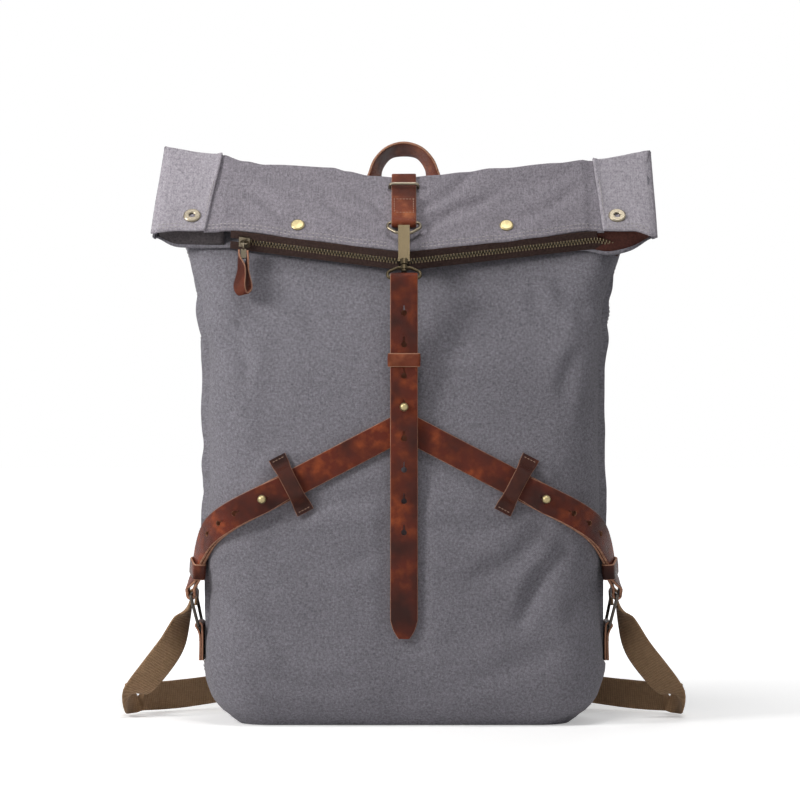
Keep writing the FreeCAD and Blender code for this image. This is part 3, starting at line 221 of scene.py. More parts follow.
class Paint(Graph):
    """A material of one principled shader, and ways of making its patterns."""

    def __init__(self, name):
        self.material = bpy.data.materials.new(name)
        self.material.use_nodes = True
        super().__init__(self.material.node_tree)
        self.shader = self.add("ShaderNodeBsdfPrincipled")
        self.put(self.shader.outputs[0], self.add("ShaderNodeOutputMaterial").inputs[0])

    def mix(self, factor, first, second):
        node = self.add("ShaderNodeMix", data_type="RGBA")
        for value, slot in ((factor, 0), (first, 6), (second, 7)):
            self.put(value, node.inputs[slot])
        return node.outputs[2]

    def grain(self, scale, detail=3.0, rough=0.55, vector=None):
        node = self.add("ShaderNodeTexNoise")
        for value, name in ((scale, "Scale"), (detail, "Detail"), (rough, "Roughness")):
            node.inputs[name].default_value = value
        if vector is not None:
            self.put(vector, node.inputs["Vector"])
        return node.outputs[0]

    def cells(self, scale, **settings):
        node = self.add("ShaderNodeTexVoronoi", **settings)
        node.inputs["Scale"].default_value = scale
        return node.outputs["Distance"]

    def wave(self, value, length):
        """0 to 1 and back along a value, once in each length."""
        turn = self.maths("MULTIPLY", value, 2 * math.pi / length)
        return self.maths("MULTIPLY_ADD", self.maths("SINE", turn), 0.5, 0.5)

    def place(self):
        """Object coordinates: every piece sits at the frame's origin, so they are frame metres."""
        return self.add("ShaderNodeTexCoord").outputs["Object"]

    def split(self, vector):
        node = self.add("ShaderNodeSeparateXYZ")
        self.put(vector, node.inputs[0])
        return node.outputs

    def joined(self, x, y, z):
        return self.feed(self.add("ShaderNodeCombineXYZ"), x, y, z)

    def bump(self, height, distance, strength=1.0):
        node = self.add("ShaderNodeBump")
        for value, name in ((strength, "Strength"), (distance, "Distance"), (height, "Height")):
            self.put(value, node.inputs[name])
        self.put(node.outputs[0], self.shader.inputs["Normal"])

    def finish(self, colour, rough, metal=0.0, sheen=0.0, coat=0.0, specular=0.5):
        for value, name in (
            (colour, "Base Color"), (rough, "Roughness"), (metal, "Metallic"),
            (sheen, "Sheen Weight"), (0.5, "Sheen Roughness"),
            (coat, "Coat Weight"), (0.25, "Coat Roughness"), (specular, "Specular IOR Level"),
        ):
            self.put(value, self.shader.inputs[name])
        return self.material


def woven(name, dark, light, pitch=1.3, depth=0.00012):
    """Plain-woven cloth: crossing threads, uneven yarn, and large soft patches."""
    paint = Paint(name)
    coords = paint.add("ShaderNodeTexCoord")
    x, y, z = paint.split(coords.outputs["Object"])
    facing = paint.split(coords.outputs["Normal"])[0]
    sideways = paint.maths("GREATER_THAN", paint.maths("ABSOLUTE", facing), 0.72)
    head_on = paint.maths("SUBTRACT", 1.0, sideways)
    across = paint.maths("MULTIPLY_ADD", y, sideways, paint.maths("MULTIPLY", x, head_on))
    up = paint.maths("MULTIPLY_ADD", paint.maths("MULTIPLY", y, head_on), -0.7, z)
    turn = 2 * math.pi / (pitch * MM)
    warp = paint.maths("SINE", paint.maths("MULTIPLY", across, turn))
    weft = paint.maths("SINE", paint.maths("MULTIPLY", up, turn))
    cross = paint.maths("MULTIPLY", warp, weft)
    thread = paint.maths("MULTIPLY_ADD", cross, 0.5, 0.5)
    along = paint.joined(paint.maths("MULTIPLY", across, 0.4), up, 0.0)
    upward = paint.joined(across, paint.maths("MULTIPLY", up, 0.4), 0.0)
    yarn_a = paint.grain(950, 2.0, 0.6, along)
    yarn_b = paint.grain(950, 2.0, 0.6, upward)
    yarn = paint.maths("MULTIPLY", paint.maths("ADD", yarn_a, yarn_b), 0.5)
    patch = paint.grain(14, 4.0, 0.6, paint.place())
    speck = paint.grain(520, 3.0, 0.75, paint.place())
    shade = paint.maths("MULTIPLY_ADD", thread, 0.3, paint.spread(yarn, 0.35, 0.65, -0.05, 0.5))
    shade = paint.maths("ADD", shade, paint.spread(patch, 0.3, 0.7, 0, 0.12))
    shade = paint.maths("ADD", shade, paint.spread(speck, 0.35, 0.65, -0.2, 0.34))
    colour = paint.mix(shade, dark, light)
    height = paint.maths("MULTIPLY_ADD", yarn, 0.7, paint.maths("MULTIPLY", thread, 0.6))
    height = paint.maths("MULTIPLY_ADD", speck, 0.8, height)
    paint.bump(height, depth, 0.9)
    rough = paint.spread(yarn, 0.3, 0.7, 0.82, 0.95)
    return paint.finish(colour, rough, sheen=0.1, specular=0.12)


def leather(name, deep, mid, bright):
    """Waxed pull-up leather: fine grain, cloudy colour and paler rubbed places."""
    paint = Paint(name)
    cloud = paint.grain(26, vector=paint.place())
    streak = paint.grain(95, vector=paint.place())
    edge = paint.spread(paint.cells(850, feature="DISTANCE_TO_EDGE"), 0.0, 0.25)
    fine = paint.grain(1600, 2.0, 0.5)
    share = paint.spread(cloud, 0.34, 0.62)
    colour = paint.mix(share, deep, mid)
    worn, lit = paint.spread(streak, 0.46, 0.72), paint.spread(cloud, 0.44, 0.66)
    rubbed = paint.maths("MULTIPLY", worn, lit)
    colour = paint.mix(rubbed, colour, bright)
    colour = paint.mix(paint.maths("MULTIPLY_ADD", edge, -0.22, 0.22), colour, deep)
    height = paint.maths("MULTIPLY_ADD", fine, 0.4, edge)
    height = paint.maths("MULTIPLY_ADD", streak, 3.0, height)
    paint.bump(height, 0.00011, 0.8)
    rough = paint.spread(streak, 0.3, 0.7, 0.3, 0.48)
    return paint.finish(colour, rough, coat=0.04, specular=0.16)


def raw_edge(name, deep, pale):
    """Cut leather edge: pale fibres with a few darker burnished places."""
    paint = Paint(name)
    fibre = paint.grain(700, 4.0, 0.7)
    patch = paint.grain(60, 3.0, 0.6)
    strands = paint.spread(fibre, 0.3, 0.7, 0, 0.5)
    share = paint.maths("MULTIPLY_ADD", paint.spread(patch, 0.35, 0.65), 0.6, strands)
    paint.bump(fibre, 0.00015, 0.8)
    return paint.finish(paint.mix(share, deep, pale), 0.72, specular=0.3)


def metal(name, dark, bright, gloss, wear=0.5):
    """Aged plated metal: polished where it is rubbed, darker and duller in patches."""
    paint = Paint(name)
    cloud = paint.grain(160, 4.0, 0.65)
    scratch = paint.grain(900, 3.0, 0.7, paint.joined(*[
        paint.maths("MULTIPLY", part, factor)
        for part, factor in zip(paint.split(paint.place()), (1.0, 1.0, 0.15))
    ]))
    share = paint.spread(cloud, 0.35, 0.7, 1.0 - wear, 1.0)
    rough = paint.maths("MULTIPLY_ADD", paint.spread(cloud, 0.7, 0.35), 0.22, gloss)
    paint.bump(paint.maths("MULTIPLY_ADD", scratch, 0.5, cloud), 0.00006, 0.5)
    return paint.finish(paint.mix(share, dark, bright), rough, metal=1.0)


def belt_cloth(name, dark, light):
    """Narrow woven webbing: crosswise ribs from a UV map that runs along the strap."""
    paint = Paint(name)
    uv = paint.add("ShaderNodeUVMap", uv_map="run").outputs[0]
    along, across, _ = paint.split(uv)
    rib = paint.wave(along, 2.1 * MM)
    cord = paint.wave(across, 1.6 * MM)
    plain = paint.maths("MULTIPLY", rib, 0.4)
    both = paint.maths("MULTIPLY_ADD", paint.maths("MULTIPLY", rib, cord), 0.6, plain)
    patch = paint.grain(45, 4.0, 0.6)
    speck = paint.grain(800, 3.0, 0.7)
    shade = paint.maths("MULTIPLY_ADD", both, 0.4, paint.spread(patch, 0.3, 0.7, 0, 0.35))
    shade = paint.maths("ADD", shade, paint.spread(speck, 0.35, 0.65, 0, 0.25))
    paint.bump(both, 0.00035, 0.9)
    return paint.finish(paint.mix(shade, dark, light), 0.88, sheen=0.1, specular=0.25)


def thread_paint(name, colour):
    """Twisted sewing thread, paler along its strands."""
    paint = Paint(name)
    twist = paint.grain(2200, 2.0, 0.6)
    shade = paint.mix(paint.spread(twist, 0.3, 0.7), colour, tone(235, 228, 215))
    mellow = paint.mix(0.35, colour, shade)
    paint.bump(twist, 0.0001, 0.6)
    return paint.finish(mellow, 0.7, specular=0.3)


def foam_paint(name, dark, light):
    """Open foam cells."""
    paint = Paint(name)
    shade = paint.spread(paint.cells(700), 0.0, 0.8)
    paint.bump(shade, 0.0003, 0.8)
    return paint.finish(paint.mix(shade, dark, light), 0.9, specular=0.2)


CANVAS = woven("canvas", tone(94, 92, 98), tone(146, 143, 151))
# A lighter copy of the canvas for the fold-over top: painted light, for the top that faces the lamps.
CANVAS_PAINTED_LIGHT = woven("canvas_painted_light", tone(106, 102, 109), tone(160, 154, 162))
# A paler copy of the canvas for the wing panels: painted light for wings that face the key lamp, and in
# part a paler tone of cloth.
CANVAS_WING_PALE_AND_LIT = woven("canvas_wing_pale_and_lit", tone(132, 127, 135), tone(192, 186, 194))
# A darker copy of the canvas for the inside of the fold's left corner: painted shade.
CANVAS_PAINTED_SHADE = woven("canvas_inside_painted_shade", tone(58, 54, 56), tone(92, 86, 88))
RUST_LINING = woven("lining_cotton", tone(62, 36, 32), tone(96, 58, 50), pitch=0.9)
PAD_CLOTH = woven("pad_canvas", tone(92, 88, 95), tone(132, 127, 135), pitch=1.6)
TAPE = woven("zip_tape_cloth", tone(44, 32, 30), tone(78, 60, 55), pitch=1.0, depth=0.0002)
BELT = belt_cloth("webbing_cotton", tone(124, 97, 70), tone(184, 150, 116))
HIDE = leather("strap_leather", tone(50, 16, 7), tone(106, 38, 17), tone(176, 86, 44))
HIDE_WARM = leather("strap_leather_warm", tone(76, 31, 17), tone(132, 62, 36), tone(194, 118, 78))
HIDE_DARK = leather("keeper_leather", tone(40, 16, 10), tone(78, 33, 20), tone(124, 62, 38))
EDGE = raw_edge("raw_leather_edge", tone(104, 58, 40), tone(196, 148, 120))
FLESH = raw_edge("flesh_side", tone(110, 66, 46), tone(160, 108, 80))
OLD_BRASS = metal("antique_brass", tone(20, 17, 13), tone(86, 76, 58), 0.2, wear=0.75)
PEWTER = metal("antique_silver", tone(62, 58, 50), tone(158, 148, 130), 0.24, wear=0.6)
CAP_BRASS = metal("cap_brass", tone(112, 100, 70), tone(176, 162, 122), 0.3, wear=0.4)
STEEL = metal("aged_nickel", tone(44, 40, 35), tone(134, 124, 106), 0.2)
DULL = metal("blackened_steel", tone(30, 28, 28), tone(88, 82, 76), 0.32)
TEETH = metal("zip_brass", tone(40, 34, 28), tone(138, 124, 100), 0.28)
THREAD = thread_paint("grey_thread", tone(168, 162, 166))
THREAD_BROWN = thread_paint("brown_thread", tone(150, 104, 78))
FOAM = foam_paint("foam_cells", tone(150, 148, 142), tone(190, 188, 182))
BOARD = woven("board_fibre", tone(62, 52, 44), tone(92, 80, 68), pitch=2.0)

# ------------------------------------------------------------------ mesh helpers


def piece(name, points, faces, paints, body=None, stands_for=(), sharp=None, indices=None):
    """A mesh piece from millimetre points; paints are its materials, indices its face slots."""
    mesh = bpy.data.meshes.new(name)
    mesh.from_pydata([tuple(Vector(p) * MM) for p in points], [], faces)
    made = linked(name, mesh)
    for paint in paints if isinstance(paints, (list, tuple)) else [paints]:
        mesh.materials.append(paint)
    mesh.polygons.foreach_set("use_smooth", [True] * len(mesh.polygons))
    if indices is not None:
        mesh.polygons.foreach_set("material_index", indices)
    mesh.validate()
    mesh.update()
    if sharp is not None:
        mesh.set_sharp_from_angle(angle=math.radians(sharp))
    settle(made, body, stands_for)
    return made


def settle(made, body=None, stands_for=()):
    """Says what a piece rides on and hides the CAD nodes it stands for."""
    if body is not None:
        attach(made, body)
    if stands_for:
        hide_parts(*stands_for)
    return made


def grid_faces(rows, columns, closed=False, first=0):
    """Quads over rows of points; closed joins the last column to the first."""
    faces = []
    for i in range(rows - 1):
        for j in range(columns if closed else columns - 1):
            a = first + i * columns + j
            b = first + i * columns + (j + 1) % columns
            faces.append((a, b, b + columns, a + columns))
    return faces


def end_caps(rings, sides):
    """The two faces that close a tube of rings."""
    return [tuple(reversed(range(sides))), tuple(range((rings - 1) * sides, rings * sides))]


def applied(made):
    """Turns a piece's modifiers into its mesh."""
    view = bpy.context.evaluated_depsgraph_get()
    view.update()
    mesh = bpy.data.meshes.new_from_object(made.evaluated_get(view))
    old = made.data
    made.modifiers.clear()
    made.data = mesh
    mesh.name = old.name
    bpy.data.meshes.remove(old)


def thickened(made, thick, offset=-1.0, rim=True):
    """Gives a sheet its thickness in millimetres."""
    skin = made.modifiers.new("skin", "SOLIDIFY")
    skin.thickness = thick * MM
    skin.offset = offset
    skin.use_rim = rim
    applied(made)


def refined(made, levels=1):
    """Subdivides a mesh and keeps the result."""
    fine = made.modifiers.new("fine", "SUBSURF")
    fine.levels = levels
    fine.render_levels = levels
    applied(made)


def blend_between(values, share):
    """Catmull-Rom through four values."""
    a, b, c, d = values
    return 0.5 * (
        2 * b
        + (c - a) * share
        + (2 * a - 5 * b + 4 * c - d) * share**2
        + (3 * b - 3 * c + d - a) * share**3
    )


def smooth_route(stations, spacing):
    """A finer run of (point, normal, width) through the given stations."""
    count = len(stations)
    fine = []
    for i in range(count - 1):
        around = [stations[max(0, min(count - 1, k))] for k in (i - 1, i, i + 1, i + 2)]
        steps = max(1, math.ceil((around[2][0] - around[1][0]).length / spacing))
        for step in range(steps):
            share = step / steps
            fine.append([blend_between([a[k] for a in around], share) for k in range(3)])
    fine.append([stations[-1][0], stations[-1][1], stations[-1][2]])
    return fine


def heading_at(points, i):
    """The direction that a line of points has at one of them."""
    ahead = points[min(i + 1, len(points) - 1)]
    before = points[max(i - 1, 0)]
    return (ahead - before).normalized()


def band_frames(route, widths, spacing):
    """(point, across, face, width, distance) along a flat band."""
    if not isinstance(widths, (list, tuple)):
        widths = [widths] * len(route)
    fine = smooth_route([(p, n, w) for (p, n), w in zip(route, widths)], spacing)
    middle = [point for point, _, _ in fine]
    frames = []
    gone = 0.0
    for i, (point, normal, width) in enumerate(fine):
        along = heading_at(middle, i)
        across = normal.cross(along).normalized()
        face = along.cross(across).normalized()
        if i:
            gone += (point - middle[i - 1]).length
        frames.append((point, across, face, width, gone))
    return frames


def turned_over(faces):
    """The same faces, facing the other way."""
    return [tuple(reversed(face)) for face in faces]


def flipped(points, faces):
    """The mirror image of a mesh in X."""
    return [Vector((-p[0], p[1], p[2])) for p in points], turned_over(faces)


def band(name, route, widths, thick, paints, body, stands_for=(), spacing=1.6, side=-1,
         crown=0.0, ripple=0.0, seed=0.0):
    """A flat strap through (point, face normal) stations, with rounded edges.

    paints are the outer face, the cut edge and the inner face. side 1 makes the mirror image.
    """
    frames = band_frames(route, widths, spacing)
    half = thick / 2
    top = [(0.0, 0.35), (0.16 * thick, 0.80), (0.55 * thick, 1.0)]
    points, uvs = [], []
    for point, across, face, width, gone in frames:
        reach = width / 2
        flat = reach - top[-1][0]
        upper = [(-reach + a, h) for a, h in top]
        upper += [(flat * s, 1.0) for s in (-0.5, 0.0, 0.5)]
        upper += [(reach - a, h) for a, h in reversed(top)]
        ring = upper + [(a, -h) for a, h in reversed(upper)]
        for a, h in ring:
            rise = half * h + crown * (1 - (a / reach) ** 2) * (1 if h > 0 else -1)
            if ripple:
                spot = point * 0.045 + Vector((seed, a * 0.03, 0))
                rise += ripple * noise.noise(spot)
            points.append(point + across * a + face * rise)
            uvs.append((gone * MM, a * MM))
    ring = 18
    count = len(frames)
    faces, indices = [], []
    for i in range(count - 1):
        for j in range(ring):
            k = (j + 1) % ring
            faces.append((i * ring + j, i * ring + k, (i + 1) * ring + k, (i + 1) * ring + j))
            if j in (0, 7, 8, 9, 16, 17):
                indices.append(1)
            else:
                indices.append(0 if j < 8 else 2)
    faces += end_caps(count, ring)
    indices += [1, 1]
    if side > 0:
        points, faces = flipped(points, faces)
    made = piece(name, points, faces, paints, None, (), None, indices)
    layer = made.data.uv_layers.new(name="run")
    for loop in made.data.loops:
        layer.data[loop.index].uv = uvs[loop.vertex_index]
    made.data.set_sharp_from_angle(angle=math.radians(48))
    return settle(made, body, stands_for)


def joined_mesh(parts):
    """Puts (points, faces) lists together."""
    points, faces = [], []
    for some, quads in parts:
        first = len(points)
        points += some
        faces += [tuple(first + i for i in q) for q in quads]
    return points, faces


def capsule(start, end, normal, radius, sides=6):
    """A short rounded stitch from start to end."""
    along = end - start
    length = along.length
    along = along / length
    across = along.cross(normal).normalized()
    out = across.cross(along).normalized()
    rows = ((0.0, 0.35, -0.3), (0.14, 0.9, 0.1), (0.5, 1.0, 0.35), (0.86, 0.9, 0.1), (1.0, 0.35, -0.3))
    points = []
    for share, fat, lift in rows:
        for k in range(sides):
            turn = 2 * math.pi * k / sides
            arm = across * math.cos(turn) + out * math.sin(turn) * 0.8
            points.append(start + along * (length * share) + arm * radius * fat + out * lift * radius)
    faces = grid_faces(len(rows), sides, True)
    faces += end_caps(len(rows), sides)
    return points, faces


def stitches(lines, pitch=3.3, length=2.3, radius=0.36):
    """Stitches along lines of (point, normal); returns parts for joined_mesh."""
    parts = []
    for line in lines:
        gone, due = 0.0, pitch * 0.3
        for (a, na), (b, nb) in zip(line, line[1:]):
            span = (b - a).length
            if span < 1e-6:
                continue
            while due < gone + span:
                share = (due - gone) / span
                normal = (na + (nb - na) * share).normalized()
                start = a + (b - a) * share
                parts.append(capsule(start, start + (b - a) / span * length, normal, radius))
                due += pitch
            gone += span
    return parts


def stitch_piece(name, lines, body, paint=None, slot="canvas", **sizes):
    """All the stitches along some lines, as one piece."""
    points, faces = joined_mesh(stitches(lines, **sizes))
    piece(name, points, faces, paint or THREAD, body)


def mirrored(vector):
    """The mirror image in X of a point or a direction."""
    return Vector((-vector.x, vector.y, vector.z))


def mirror_line(line):
    """The mirror image in X of a line of (point, normal)."""
    return [(mirrored(point), mirrored(normal)) for point, normal in line]


def pierced(made, holes, radius=2.3, slit=4.2):
    """Punches round holes, each with a short slit: holes are (point, outward, along)."""
    parts = []
    for point, outward, along in holes:
        outward = outward.normalized()
        along = (along - outward * along.dot(outward)).normalized()
        across = along.cross(outward)
        outline = []
        narrow = 0.45
        open_at = math.asin(narrow / radius)
        for k in range(19):
            turn = math.pi / 2 + open_at + (2 * math.pi - 2 * open_at) * k / 18
            outline.append((math.cos(turn) * radius, math.sin(turn) * radius))
        outline += [(narrow, radius + slit * 0.8), (0.0, radius + slit), (-narrow, radius + slit * 0.8)]
        count = len(outline)
        corners = []
        for depth in (-4.0, 4.0):
            for a, b in outline:
                corners.append(point + across * a + along * b + outward * depth)
        faces = [(k, (k + 1) % count, count + (k + 1) % count, count + k) for k in range(count)]
        faces += end_caps(2, count)
        parts.append((corners, faces))
    points, faces = joined_mesh(parts)
    paints = [slot.material for slot in made.material_slots]
    tool = piece("punch", points, faces, paints, indices=[1] * len(faces))
    cut = made.modifiers.new("cut", "BOOLEAN")
    cut.operation = "DIFFERENCE"
    cut.object = tool
    cut.solver = "EXACT"
    cut.use_self = True
    applied(made)
    bpy.data.objects.remove(tool)
    made.data.set_sharp_from_angle(angle=math.radians(40))


# ------------------------------------------------------------------ the bag's surface

# Rows of the bag's section: height, half width, front, back, corner radius.
LEVELS = [
    (0, 128, -46, 46, 24),
    (10, 152, -61, 57, 34),
    (36, 162, -67, 61, 42),
    (170, 162, -72, 62, 48),
    (290, 161, -64, 61, 42),
    (365, 170, -38, 44, 26),
    (418, 189, -12.5, 13, 9),
    (438, 196, -3, 3, 2.9),
]
FIELDS = {"half": 1, "front": 2, "back": 3, "corner": 4}


def level(field, height):
    """The CAD's own section value at a height, by straight interpolation."""
    k = FIELDS[field]
    for low, high in zip(LEVELS, LEVELS[1:]):
        if height <= high[0]:
            return low[k] + (high[k] - low[k]) * (height - low[0]) / (high[0] - low[0])
    return LEVELS[-1][k]


def on_bag(along, height, offset):
    """A point off the bag's left front at an arc length from the middle, and the normal."""
    half, front, corner = (level(f, height) for f in ("half", "front", "corner"))
    rate = (level("front", height + 4) - level("front", height - 4)) / 8
    flat = half - corner
    if along <= flat:
        normal = Vector((0, -1, rate)).normalized()
        return Vector((-along, front, height)) + normal * offset, normal
    turn = min((along - flat) / corner, math.pi / 2)
    beyond = max(0.0, along - flat - corner * math.pi / 2)
    out = Vector((-math.sin(turn), -math.cos(turn), 0))
    point = Vector((-flat, front + corner + beyond, height)) + out * corner
    normal = Vector((out.x, out.y, rate * math.cos(turn))).normalized()
    return point + normal * offset, normal


def soft_level(field, height):
    """The same value eased over 12 mm, so the cloth has no hard bends."""
    total = 0.0
    for step, share in ((-12, 1), (-6, 2), (0, 3), (6, 2), (12, 1)):
        total += share * level(field, min(438, max(0, height + step)))
    return total / 9


def smoothstep(low, high, value):
    """0 below low, 1 above high and a smooth rise between them."""
    share = min(1.0, max(0.0, (value - low) / (high - low)))
    return share * share * (3 - 2 * share)


# Creases in the front's cloth: two ends in x and z, depth, half width.
FRONT_CREASES = [
    (-146, 318, -124, 286, 2.6, 6.5),
    (-152, 338, -128, 318, 1.7, 5.5),
    (-158, 272, -138, 246, 1.6, 6.0),
    (-126, 168, -22, 186, 1.5, 8.0),
    (-152, 132, -104, 112, 1.6, 7.0),
    (-140, 106, -96, 66, 2.4, 6.5),
    (-156, 92, -138, 60, 1.6, 6.0),
    (-118, 40, -46, 32, 1.0, 9.0),
    (-60, 132, -14, 138, 0.8, 9.0),
    (128, 142, 92, 88, 2.6, 6.5),
    (112, 152, 58, 118, 1.7, 8.0),
    (88, 164, 20, 158, 1.1, 8.0),
    (152, 120, 134, 84, 1.9, 6.5),
    (118, 58, 44, 36, 1.1, 9.0),
    (122, 356, 148, 332, 2.5, 6.5),
    (104, 346, 128, 318, 1.4, 7.0),
    (158, 286, 150, 232, 1.8, 6.0),
    (146, 306, 128, 270, 1.3, 7.0),
    (-96, 352, -70, 322, 1.0, 7.0),
    (60, 338, 36, 300, 0.8, 8.0),
]
SIDE_CREASES = [
    (-20, 330, 24, 306, 2.6, 8.0),
    (18, 350, -16, 338, 2.0, 7.0),
    (-12, 250, 26, 226, 2.0, 9.0),
    (30, 192, -8, 168, 2.2, 9.0),
    (-16, 60, 28, 44, 2.0, 8.0),
    (8, 392, 2, 368, 2.6, 6.0),
]
BACK_CREASES = [
    (-140, 330, -104, 306, 1.8, 8.0),
    (136, 322, 98, 300, 1.8, 8.0),
    (-128, 84, -88, 56, 2.0, 8.0),
    (126, 92, 84, 60, 2.0, 8.0),
    (-10, 230, 30, 214, 0.9, 9.0),
    (-142, 190, -112, 214, 1.4, 8.0),
    (140, 200, 110, 182, 1.4, 8.0),
]


def crease_rise(creases, a, b):
    """Height of the cloth over its smooth form, from a list of creases."""
    total = 0.0
    for a0, b0, a1, b1, depth, wide in creases:
        run_a, run_b = a1 - a0, b1 - b0
        length = math.hypot(run_a, run_b)
        share = ((a - a0) * run_a + (b - b0) * run_b) / length**2
        if share < -0.35 or share > 1.35:
            continue
        off = ((a - a0) * run_b - (b - b0) * run_a) / length
        off += 2.2 * math.sin(share * 5.0 + a0)
        if abs(off) > 5 * wide:
            continue
        fade = smoothstep(-0.3, 0.25, share) * (1 - smoothstep(0.75, 1.3, share))
        valley = math.exp(-((off / wide) ** 2))
        ridge = math.exp(-(((off - 1.9 * wide) / (1.3 * wide)) ** 2))
        ridge += 0.6 * math.exp(-(((off + 1.9 * wide) / (1.3 * wide)) ** 2))
        total += fade * depth * (0.55 * ridge - valley)
    return total


# The cross straps' middle line leaves the bag's middle at CROSS_TOP and falls by CROSS_SLOPE.
CROSS_TOP, CROSS_SLOPE = 241, 0.522


def strap_cover(x, z):
    """1 where a front strap lies on the cloth, falling to 0 clear of it."""
    near = 1 - smoothstep(12, 26, abs(x)) if 60 < z < 345 else 0.0
    run = abs(x)
    line = CROSS_TOP - CROSS_SLOPE * run if run < 118 else 179 - (run - 118) * 0.9
    if run < 168:
        near = max(near, 1 - smoothstep(13, 26, abs(z - line)))
    return max(near, 1 - smoothstep(26, 36, math.hypot(run - 90, z - 194)))


def section_point(kind, share, height):
    """A point of the bag's outline at a height: kind is the stretch, share its 0 to 1."""
    half = soft_level("half", height)
    front = soft_level("front", height)
    back = soft_level("back", height)
    corner = min(soft_level("corner", height), (back - front) / 2 * 0.97)
    flat = half - corner
    low, high = front + corner, back - corner
    if kind == "front":
        return Vector((-flat + 2 * flat * share, front, height)), Vector((0, -1, 0))
    if kind == "back":
        return Vector((flat - 2 * flat * share, back, height)), Vector((0, 1, 0))
    if kind == "right":
        return Vector((half, low + (high - low) * share, height)), Vector((1, 0, 0))
    if kind == "left":
        return Vector((-half, high + (low - high) * share, height)), Vector((-1, 0, 0))
    centre, begin = {
        "front_right": ((flat, low), -90),
        "back_right": ((flat, high), 0),
        "back_left": ((-flat, high), 90),
        "front_left": ((-flat, low), 180),
    }[kind]
    turn = math.radians(begin + 90 * share)
    out = Vector((math.cos(turn), math.sin(turn), 0))
    return Vector((centre[0], centre[1], height)) + out * corner, out


STRETCHES = (
    ("front", 108), ("front_right", 22), ("right", 20), ("back_right", 22),
    ("back", 108), ("back_left", 22), ("left", 20), ("front_left", 22),
)


def bag_rise(point, out):
    """How far the cloth stands off its smooth form at a point."""
    x, y, z = point
    facing = out.normalized()
    rise = noise.noise(Vector((x, y * 1.3, z)) * 0.016) * 1.5
    rise += noise.noise(Vector((x + 90, y, z * 1.4)) * 0.045) * 0.55
    rise += noise.noise(Vector((x, y + 50, z)) * 0.13) * 0.14
    if facing.y < -0.2:
        rise += 1.35 * crease_rise(FRONT_CREASES, x, z) * smoothstep(0.2, 0.7, -facing.y)
        cover = strap_cover(x, z) * smoothstep(0.1, 0.5, -facing.y)
        rise = rise * (1 - 0.85 * cover) - 0.35 * cover
        sag = math.sin(min(1.0, max(0.0, (z - 26) / 190)) * math.pi)
        rise += 1.6 * sag * (1 - cover) * (1 - (x / 165) ** 4)
        hollow = smoothstep(20, 150, abs(x)) * smoothstep(40, 120, z)
        rise -= (5.0 - 3.4 * cover) * hollow * (1 - smoothstep(330, 380, z))
    elif facing.y > 0.2:
        rise += crease_rise(BACK_CREASES, x, z) * smoothstep(0.2, 0.7, facing.y)
        rise = rise * (0.45 if abs(x) < 100 and z > 60 else 1.0) - 0.2
    if abs(facing.x) > 0.25:
        weight = smoothstep(0.25, 0.8, abs(facing.x))
        rise += crease_rise(SIDE_CREASES, y * (1 if x > 0 else -0.9) + (3 if x > 0 else 0), z) * weight
        away = smoothstep(20, 42, abs(z - 82))
        rise += 2.3 * weight * away * smoothstep(24, 60, z) * (1 - smoothstep(300, 392, z))
        rise = min(rise, 0.1) if abs(z - 82) < 34 and weight > 0.4 else rise
    rise *= smoothstep(0, 22, z) * (1 - 0.8 * smoothstep(392, 432, z))
    return rise


# The foot's rings, as shares of the outline on the floor.
FOOT_RINGS = (0.955, 0.8, 0.5, 0.2)


def bag_shell():
    """The whole sewn bag as one sagging lofted skin, from the base to the fold."""
    heights = [0, 0.8, 2.2, 4.2, 7, 10.5, 14.5, 19]
    while heights[-1] < 430:
        heights.append(heights[-1] + (3.2 if heights[-1] < 60 else 3.6))
    heights += [434, 437, 438.4]
    points = []
    for height in heights:
        for kind, count in STRETCHES:
            for k in range(count):
                point, out = section_point(kind, k / count, height)
                points.append(point + out * bag_rise(point, out))
    columns = sum(count for _, count in STRETCHES)
    faces = grid_faces(len(heights), columns, True)
    first = len(points)
    for shrink in FOOT_RINGS:
        for j in range(columns):
            p = points[j]
            points.append(Vector((p.x * shrink, p.y * shrink, 0.0 if shrink < 0.9 else 0.1)))
    low = 0
    for row in range(len(FOOT_RINGS)):
        high = first + row * columns
        for j in range(columns):
            k = (j + 1) % columns
            faces.append((low + k, low + j, high + j, high + k))
        low = high
    faces.append(tuple(reversed(range(low, low + columns))))
    ridge = (len(heights) - 1) * columns
    crown = len(points)
    for j in range(columns):
        p = points[ridge + j]
        points.append(Vector((p.x * 0.997, p.y * 0.45, 439.3)))
    for j in range(columns):
        k = (j + 1) % columns
        faces.append((ridge + j, ridge + k, crown + k, crown + j))
    faces.append(tuple(range(crown, crown + columns)))
    piece("bag_shell", points, faces, CANVAS, "bag",
          ("front_panel", "back_panel", "gusset_left", "gusset_right", "base_panel"))


def bag_seams():
    """Stitched seams down the middle of each side."""
    lines = []
    for side in (-1, 1):
        for shift in (-2.6, 2.6):
            line = []
            z = 12.0
            while z < 420:
                if not 58 < z < 112:
                    kind = "right" if side > 0 else "left"
                    share = 0.86 if side > 0 else 0.14
                    point, out = section_point(kind, share, z)
                    point.y += shift
                    line.append((point + out * (bag_rise(point, out) + 0.15), out))
                elif line:
                    lines.append(line)
                    line = []
                z += 3.0
            lines.append(line)
    stitch_piece("seam_stitches", [line for line in lines if len(line) > 2], "bag")


# ------------------------------------------------------------------ the fold-over top

RIDGE = Vector((0, 0, 437))
TILT = 39.0
CLEAR = 6.4
TOP_LINE = [
    (-205, 474), (-152, 466.5), (-131, 460.5), (-114, 457.5), (-59, 454.5), (-47, 451.5),
    (-27, 447.8), (-3, 446.0), (29, 448.3), (77, 454), (125, 458.5), (154, 462), (205, 469.5),
]
LEAN = Matrix.Rotation(math.radians(-TILT), 3, "X")


def on_flap(x, down, off):
    """A point on the fold-over top's outer face, down the slope from the ridge."""
    return LEAN @ Vector((x, -(CLEAR + off), -down)) + RIDGE


